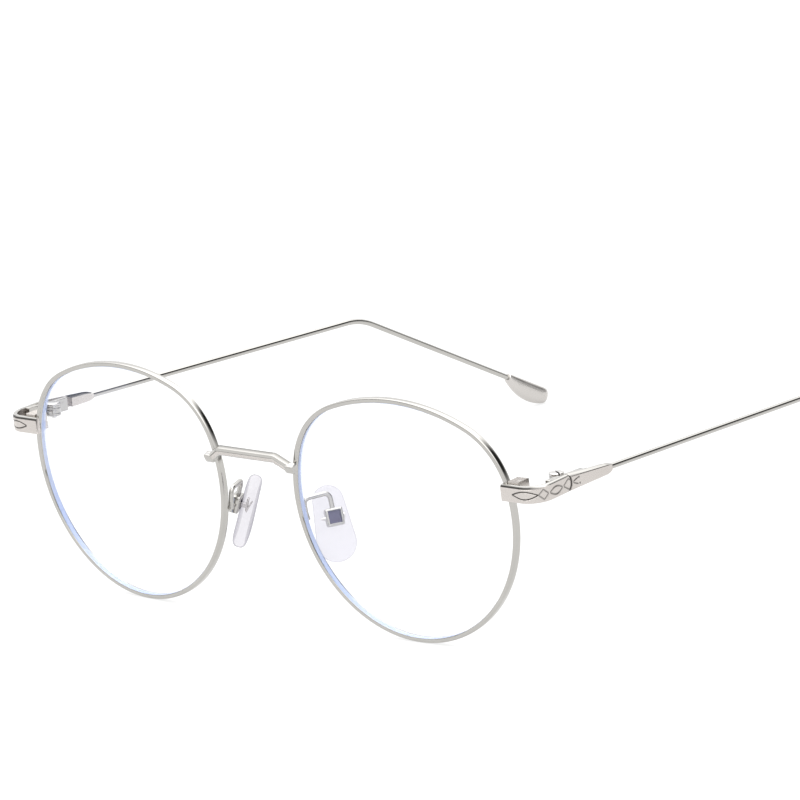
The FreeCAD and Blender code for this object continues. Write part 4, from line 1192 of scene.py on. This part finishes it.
@dataclass
class Temple(Half):
    """One temple: its hinge leaf, the flat bar, the wire and the paddle tip."""

    height: float = 3.2
    bar_length: float = 12.3
    bar_end: float = 2.0
    bar_round: float = 2.3
    bar_thickness: float = 1.95
    engraved: float = 3.4
    plain: float = 2.799
    let_in: float = 6.2
    solid: float = 6.1
    ease_from: float = 10.3
    nose: float = 2.0
    nose_back: float = 1.95
    facet: float = 0.5
    grid: float = 0.09
    wire_seat: float = 4.0
    shank: float = 73.0
    drop: float = 43.0
    bend_radius: float = 15.0
    bend: float = 27.714
    wire_radius: float = 0.55
    tip_length: float = 12.0
    tip_top: float = 0.8
    tip_thickness: float = 2.2
    tip_end: float = 1.7
    tip_belly: float = 11.5
    tip_foot: float = 0.8
    tip_shoulder: float = 0.12
    top_power: float = 3.0
    belly_power: float = 2.4
    fork: Engraving = Engraving((Link(0.45, 1.9, 0.62, Motif.FORK),), ((2.15, 0.55), (2.35, -0.7)), line=0.15)

    @property
    def body(self) -> str:
        """The moving body this temple is."""
        return self.side.named("temple")

    def corner(self) -> float:
        """Where the wire's two runs would meet, behind the hinge's axis."""
        return self.bar_length + self.shank

    def bar_height(self, along: float) -> float:
        """Height of the bar some way behind the hinge's axis, rounded off at its end."""
        taper = self.bar_length - self.bar_end / 2
        height = self.height + (self.bar_end - self.height) * min(max(along / taper, 0), 1)
        past = max(along - self.bar_length + self.bar_round, 0) / self.bar_round
        return height * math.sqrt(max(1 - 0.7 * past * past, 0.05))

    def bar_stations(self) -> list[float]:
        """Edge loops of the bar: close under the engraved lines, and a step where the leaf ends."""
        fine = round(self.engraved / self.grid)
        return ([self.engraved * i / fine for i in range(fine + 1)]
                + [self.engraved + self.plain * i / 4 for i in range(1, 5)] + [self.let_in]
                + [self.let_in + self.solid * i / 22 for i in range(1, 23)])

    def bar(self) -> None:
        """The bar: let out for the hinge leaf, tapered, with a bright top facet."""
        stock = Stock()
        top, soft, worn, back = self.height / 2, 0.2, 0.8, self.bar_thickness
        high = top - self.facet
        stock.bar([(soft * 0.3, -top + soft * 0.3), *flat_side(-top + soft, high, self.grid),
                   (0.05, high + 0.05), (0.46, top - 0.07), (0.62, top), (worn, top), (back, top),
                   (back, -top), (worn, -top), (soft, -top)], self.bar_stations())
        stock.paint(lambda face: face.calc_center_median().z > high)
        for vert in stock.bm.verts:
            run, deep, up = vert.co
            if run < self.let_in - 0.0005:
                deep = min(deep, HINGE.plate)
            seam = math.sqrt(self.nose ** 2 - up ** 2) - self.nose_back
            along = run
            if run < self.engraved:
                along = seam + (run / self.engraved) * (self.engraved - seam)
            cut = 0.0
            if deep < 0.02:
                milled = 0.5 * Engraving.groove(up - high, 0.16)
                cut = max(self.fork.cut(along, up), 1 - abs(along - seam) / 0.28, milled)
            # cut also paints shade: the fork, its dots, the seam at the hinge and the milled line under the
            # facet are darkened as painted shade
            vert[stock.painted_shade] = cut
            height = up * self.bar_height(along) / self.height
            if deep > worn - 0.01 and run > self.let_in - 0.1:
                height *= 0.7
            ease = 0.1 * max(along - self.ease_from, 0) ** 2
            surface = LAYOUT.hinge_inset - deep - self.fork.depth * cut
            vert.co = (surface - (ease if deep < back / 2 else -ease), along, height)
        self.deliver(stock, "temple_bar_tapered", "temple_bar", "satin_metal", LAYOUT.hinge(),
                     self.palette.satin, self.palette.bright, body=self.body)

    def hinge_rear(self) -> None:
        """The moving leaf and its middle knuckle."""
        back, half = HINGE.back(), HINGE.middle / 2
        stock = Stock()
        stock.block((HINGE.knuckle + HINGE.gap, HINGE.play, -HINGE.leaf_height / 2),
                    (back, HINGE.leaf_length, HINGE.leaf_height / 2), HINGE.leaf_round)
        stock.rod(HINGE.knuckle, -half, half, 0.1)
        stock.block((0, HINGE.play, -half), (back, HINGE.knuckle, half), 0.06)
        self.deliver(stock, "hinge_moving_half", "hinge_rear", "polished_metal", LAYOUT.hinge(),
                     self.palette.bright, body=self.body)

    def wire(self) -> None:
        """The wire: straight, one bend behind the ear, straight into the tip."""
        angle = math.radians(self.bend)
        corner = Vector((0, self.corner(), 0))
        away = Vector((0, math.cos(angle), -math.sin(angle)))
        start = Vector((0, self.bar_length - self.wire_seat + SOLDER, 0))
        end = corner + away * (self.drop + self.wire_seat - SOLDER)
        stock = Stock()
        stock.tube([start, corner, end], self.wire_radius, self.bend_radius, 32, 24)
        self.deliver(stock, "temple_wire_rod", "temple_wire", "polished_metal", LAYOUT.wire(),
                     self.palette.bright, body=self.body)

    def belly(self, along: float) -> float:
        """Underside of the tip.

        Args:
            along: distance from the wire's end.

        Returns:
            Its height, on the arc that the tip's side is drawn with and round its end.
        """
        end = Vector((self.tip_length - self.tip_end, self.tip_top - self.tip_end))
        foot = Vector((0, -self.tip_foot))
        span = end - foot
        from_end = ((self.tip_belly - self.tip_end) ** 2 - self.tip_belly ** 2
                    + span.length ** 2) / (2 * span.length)
        from_foot = span.length - from_end
        rise = math.sqrt(self.tip_belly ** 2 - from_foot ** 2)
        unit = span.normalized()
        centre = foot + unit * from_foot + Vector((-unit.y, unit.x)) * rise
        touch = centre + (end - centre).normalized() * self.tip_belly
        if along <= touch.x:
            return centre.y - math.sqrt(self.tip_belly ** 2 - (along - centre.x) ** 2)
        return end.y - math.sqrt(max(self.tip_end ** 2 - (along - end.x) ** 2, 0))

    def tip(self) -> None:
        """The paddle tip: a loft of rounded sections, flat on top, full below, round at its end."""
        stock = Stock()
        knee = self.tip_length - self.tip_end
        marks = [0.0, self.tip_shoulder] + [knee * i / 14 for i in range(1, 15)]
        marks += [knee + self.tip_end * math.sin(math.radians(90 * i / 8)) for i in range(1, 9)]
        face = stock.disc(1.0, spun("X", -90), 40)
        rings = [list(face.verts)]
        for _ in marks[1:]:
            face = stock.extrude(face, Vector())
            rings.append(list(face.verts))
        for along, ring in zip(marks, rings):
            low = self.belly(along)
            round_end = max(along - knee, 0) / self.tip_end
            closing = math.sqrt(max(1 - round_end ** 2, 0))
            high = self.tip_top - self.tip_end * (1 - closing)
            wide = self.tip_thickness / 2 * (0.8 + 0.2 * min(along / 4, 1)) * closing
            inset = 0.88 if along == 0 else 1.0
            for vert in ring:
                x, z = vert.co.x, vert.co.z
                power = self.top_power if z > 0 else self.belly_power
                norm = (abs(x) ** power + abs(z) ** power) ** (1 / power)
                x, z = x / norm * inset, z / norm * inset
                vert.co = (x * wide, along, (high + low) / 2 + z * max(high - low, 0.001) / 2)
        place = LAYOUT.wire() @ moved(0, self.corner(), 0) @ spun("X", -self.bend) @ moved(0, self.drop, 0)
        self.deliver(stock, "paddle_tip", "temple_tip", "satin_metal", place, self.palette.buffed,
                     body=self.body)

    def build(self) -> None:
        """Build and dress the temple."""
        self.bar()
        self.hinge_rear()
        self.wire()
        self.tip()


# ------------------------------------------------------------------------------------- nose pads

@dataclass
class NosePad(Half):
    """One nose pad with its insert, screw, box and gooseneck arm."""

    radius: float = 0.48
    bend: float = 1.1
    foot_lift: float = 2.2
    foot_depth: float = 0.42
    knee_level: float = 1.2
    knee_inset: float = 0.5
    knee_setback: float = 0.35
    run: float = 3.0
    length: float = 14.6
    width: float = 7.6
    top_width: float = 5.93
    thickness: float = 2.4
    edge_round: float = 1.0
    box_gap: float = 0.3
    box_width: float = 3.4
    box_depth: float = 1.9
    box_height: float = 3.4
    box_round: float = 0.36
    window: float = 0.35
    box_lift: float = 1.0
    screw: float = 0.38
    screw_tail: float = 1.0

    @property
    def body(self) -> str:
        """The rocking body this pad is."""
        return self.side.named("pad")

    def pivot(self) -> Vector:
        """A point on the pad screw's axis, in the pad's own axes."""
        return Vector((0, -self.thickness / 2 - self.box_gap - self.box_depth / 2, self.box_lift))

    def arm(self) -> None:
        """The gooseneck: a flattened foot on the rim, up, back and down to the box."""
        into_front = LAYOUT.front().inverted() @ LAYOUT.pad()
        top = self.pivot() + Vector((0, 0, self.box_height / 2 + SOLDER))
        landing = into_front @ top
        rise = into_front @ (top + Vector((0, 0, self.run)))
        wrap = math.radians(LAYOUT.wrap)
        nasal = LAYOUT.shoulder_width / 2 + LAYOUT.rim_width / 2
        back = LAYOUT.rim_depth / 2 + self.foot_depth + SOLDER
        foot = Vector((LAYOUT.lens_offset() - nasal * math.cos(wrap) - back * math.sin(wrap),
                       back * math.cos(wrap) - nasal * math.sin(wrap), LAYOUT.pad_level + self.foot_lift))
        knee = Vector((foot.x - self.knee_inset, foot.y + self.knee_setback, self.knee_level))
        stock = Stock()
        stock.tube([foot, knee, rise, landing], self.radius, self.bend, 24, 12)
        up = (knee - foot).to_track_quat("Z", "Y").to_matrix().to_4x4()
        flare = Matrix.Translation(foot) @ up @ Matrix.Diagonal((1, 0.8, 1, 1))
        stock.lathe([(0, 0), (0.62, 0), (0.7, 0.15), (0.6, 0.7), (self.radius, 1.6), (0, 1.7)], flare, 24)
        self.deliver(stock, "gooseneck_arm", "pad_arm", "polished_metal", LAYOUT.front(),
                     self.palette.bright)

    def box(self) -> None:
        """The box: a cup with rounded corners, with a window in its back, its walls and floor a dark steel as
        painted shade.
        """
        half, tall = self.box_width / 2, self.box_height / 2
        front = -self.thickness / 2 - self.box_gap
        low, high = (-half, front - self.box_depth, self.box_lift - tall), (half, front, self.box_lift + tall)
        stock = Stock()
        stock.block(low, high, self.box_round, 4)
        stock.bm.normal_update()
        for facing in (-1, 1):
            face = max((f for f in stock.bm.faces if f.normal.y * facing > 0.99), key=lambda f: f.calc_area())
            bmesh.ops.inset_region(stock.bm, faces=[face], thickness=0.12, use_even_offset=True)
            bmesh.ops.inset_region(stock.bm, faces=[face], thickness=0.06, depth=-0.12, use_even_offset=True)
            face = stock.extrude(face, Vector((0, -self.window * facing, 0)))
            # the window's walls and floor take the dark steel as painted shade
            for wall in {wall for edge in face.edges for wall in edge.link_faces}:
                wall.material_index = 1
        self.deliver(stock, "pad_box_windowed", "pad_box", "polished_metal", LAYOUT.pad(),
                     self.palette.bright, self.palette.recess_shade)

    def insert(self) -> None:
        """The insert: a small forked plate inside the silicone and a tongue out of its back."""
        stock = Stock()
        lift = self.box_lift
        face = stock.flat((-0.5, y, lift + z) for y, z in [
            (-0.55, 1.5), (-0.45, -0.9), (-0.1, -1.3), (0.55, 0.9), (0.3, 1.1), (-0.12, -0.2), (-0.2, 1.5)])
        rim = set(face.edges)
        end = stock.extrude(face, Vector((1.0, 0, 0)))
        stock.round_edges(rim | set(end.edges), 0.05, 2)
        stock.block((-0.5, -2.9, lift - 0.45), (0.5, -0.4, lift + 0.45), 0.1)
        self.deliver(stock, "pad_insert_forked", "pad_insert", "screws", LAYOUT.pad(), self.palette.steel,
                     body=self.body)

    def pad_screw(self) -> None:
        """The pad screw: a pointed tail out of one side of the box and a head on the other."""
        stock = Stock()
        half = self.box_width / 2
        tail, seat = -half - self.screw_tail, half + SOLDER
        place = Matrix.Translation(self.pivot()) @ spun("Y", 90)
        stock.lathe([(0, tail), (0.1, tail + 0.06), (self.screw, tail + 0.9), (self.screw, seat), (0, seat)],
                    place, 32)
        stock.slotted_head(0.68, 0.35, 0.18, 0.16, place @ moved(0, 0, seat) @ spun("Z", 25))
        self.deliver(stock, "pad_screw_pointed", "pad_screw", "screws", LAYOUT.pad(), self.palette.steel)

    def cushion(self) -> None:
        """The silicone: a teardrop with soft edges."""
        half, low, top = self.length / 2, self.width / 2, self.top_width / 2
        below, above = low - half, half - top
        tilt = math.asin((low - top) / (above - below))
        turns = 14
        corners = [(low * math.cos(a), below + low * math.sin(a))
                   for a in (-math.pi - tilt + (math.pi + 2 * tilt) * i / turns for i in range(turns + 1))]
        corners += [(top * math.cos(a), above + top * math.sin(a))
                    for a in (tilt + (math.pi - 2 * tilt) * i / turns for i in range(turns + 1))]
        stock = Stock()
        face = stock.flat((x, -self.thickness / 2, z) for x, z in corners)
        rim = set(face.edges)
        end = stock.extrude(face, Vector((0, self.thickness, 0)))
        stock.round_edges(rim | set(end.edges), self.edge_round, 5)
        self.deliver(stock, "silicone_pad", "nose_pad", "pad_silicone", LAYOUT.pad(), self.palette.silicone,
                     body=self.body, crease=60.0)

    def build(self) -> None:
        """Build and dress the pad and what holds it."""
        self.arm()
        self.box()
        self.insert()
        self.pad_screw()
        self.cushion()


# ------------------------------------------------------------------------------------------ studio

@dataclass
class Studio:
    """Pale floor, soft light and the camera. Sizes are in millimetres and angles in degrees."""

    azimuth: float = 44.49
    elevation: float = 14.28
    roll: float = -6.09
    distance: float = 1360.0
    slide: float = 24.66
    lift: float = 18.68
    focal_length: float = 327.6
    floor_half: float = 6000.0
    floor_drop: float = 0.02
    walls: tuple[Pair, ...] = (
        (0.0, 0.85), (0.085, 0.16), (0.108, 0.16), (0.15, 1.2), (0.5, 1.25), (0.75, 2.7))
    flag: tuple[float, float, float] = (0.52, 0.69, 0.5)
    flag_edge: Pair = (32.0, 12.0)
    flag_level: float = 0.03

    def camera(self) -> None:
        """A long lens, well back, a little above the spectacles and off their left corner."""
        a, e, r = (math.radians(v) for v in (self.azimuth, self.elevation, self.roll))
        back = Vector((math.sin(a) * math.cos(e), -math.cos(a) * math.cos(e), math.sin(e)))
        level = Vector((math.cos(a), math.sin(a), 0))
        upright = back.cross(level)
        right = level * math.cos(r) + upright * math.sin(r)
        up = upright * math.cos(r) - level * math.sin(r)
        aim = LAYOUT.front().translation + right * self.slide + up * self.lift
        eye = (aim + back * self.distance) * METRES
        data = bpy.data.cameras.new("camera")
        data.lens = self.focal_length
        data.sensor_width = 36.0
        data.clip_end = 50.0
        item = bpy.data.objects.new("camera", data)
        item.matrix_world = Matrix((
            (right.x, up.x, back.x, eye.x), (right.y, up.y, back.y, eye.y),
            (right.z, up.z, back.z, eye.z), (0, 0, 0, 1)))
        bpy.context.scene.collection.objects.link(item)
        bpy.context.scene.camera = item

    def floor(self) -> None:
        """A wide plain pale floor just under the rims and the tips."""
        stock = Stock()
        half, drop = self.floor_half, -self.floor_drop
        stock.flat([(-half, -half, drop), (half, -half, drop), (half, half, drop), (-half, half, drop)])
        stock.finish("floor", NOWHERE, [PaleFloor().make()])

    def sky(self) -> None:
        """Soft light all round, brightest overhead, with a dark skirting and one black flag behind."""
        world = bpy.data.worlds.new("studio")
        bpy.context.scene.world = world
        world.use_nodes = True
        tree = world.node_tree
        tree.nodes.clear()
        way = add_node(tree, "ShaderNodeTexCoord").outputs["Generated"]
        split = add_node(tree, "ShaderNodeSeparateXYZ", links={0: way})
        height = add_node(tree, "ShaderNodeMapRange", {"From Min": -0.1, "From Max": 1.0},
                          {"Value": split.outputs["Z"]})
        walls = add_node(tree, "ShaderNodeValToRGB", links={"Fac": height.outputs["Result"]})
        self.bands(walls, self.walls)
        flag = add_node(tree, "ShaderNodeVectorMath", {"operation": "DOT_PRODUCT", 1: self.flag}, {0: way})
        outer, inner = (math.cos(math.radians(edge)) for edge in self.flag_edge)
        shade = add_node(tree, "ShaderNodeMapRange", {"From Min": outer, "From Max": inner},
                         {"Value": flag.outputs["Value"]})
        mix = add_node(tree, "ShaderNodeMix", {"data_type": "RGBA", 7: (*(self.flag_level,) * 3, 1)}, {
            0: shade.outputs["Result"], 6: walls.outputs["Color"]})
        light = add_node(tree, "ShaderNodeBackground", {"Strength": 1.0}, {"Color": mix.outputs[2]})
        add_node(tree, "ShaderNodeOutputWorld", links={"Surface": light.outputs["Background"]})

    @staticmethod
    def bands(ramp: Node, stops: Sequence[Pair]) -> None:
        """Set a colour ramp to grey levels at positions."""
        elements = ramp.color_ramp.elements
        while len(elements) < len(stops):
            elements.new(0.5)
        for element, (position, level) in zip(elements, stops):
            element.position = position
            element.color = (level, level, level, 1)

    def build(self) -> None:
        """Set the whole studio up."""
        bpy.context.scene.view_settings.view_transform = "Standard"
        self.floor()
        self.sky()
        self.camera()


def main() -> None:
    """Build every sub-assembly in order."""
    logging.basicConfig(level=logging.INFO, format="%(message)s")
    palette = Palette()
    Studio().build()
    for side in Side:
        for part in (Eyewire, Corner, Temple, NosePad):
            part(side, palette).build()
    Bridge(palette).build()


if __name__ == "__main__":
    main()
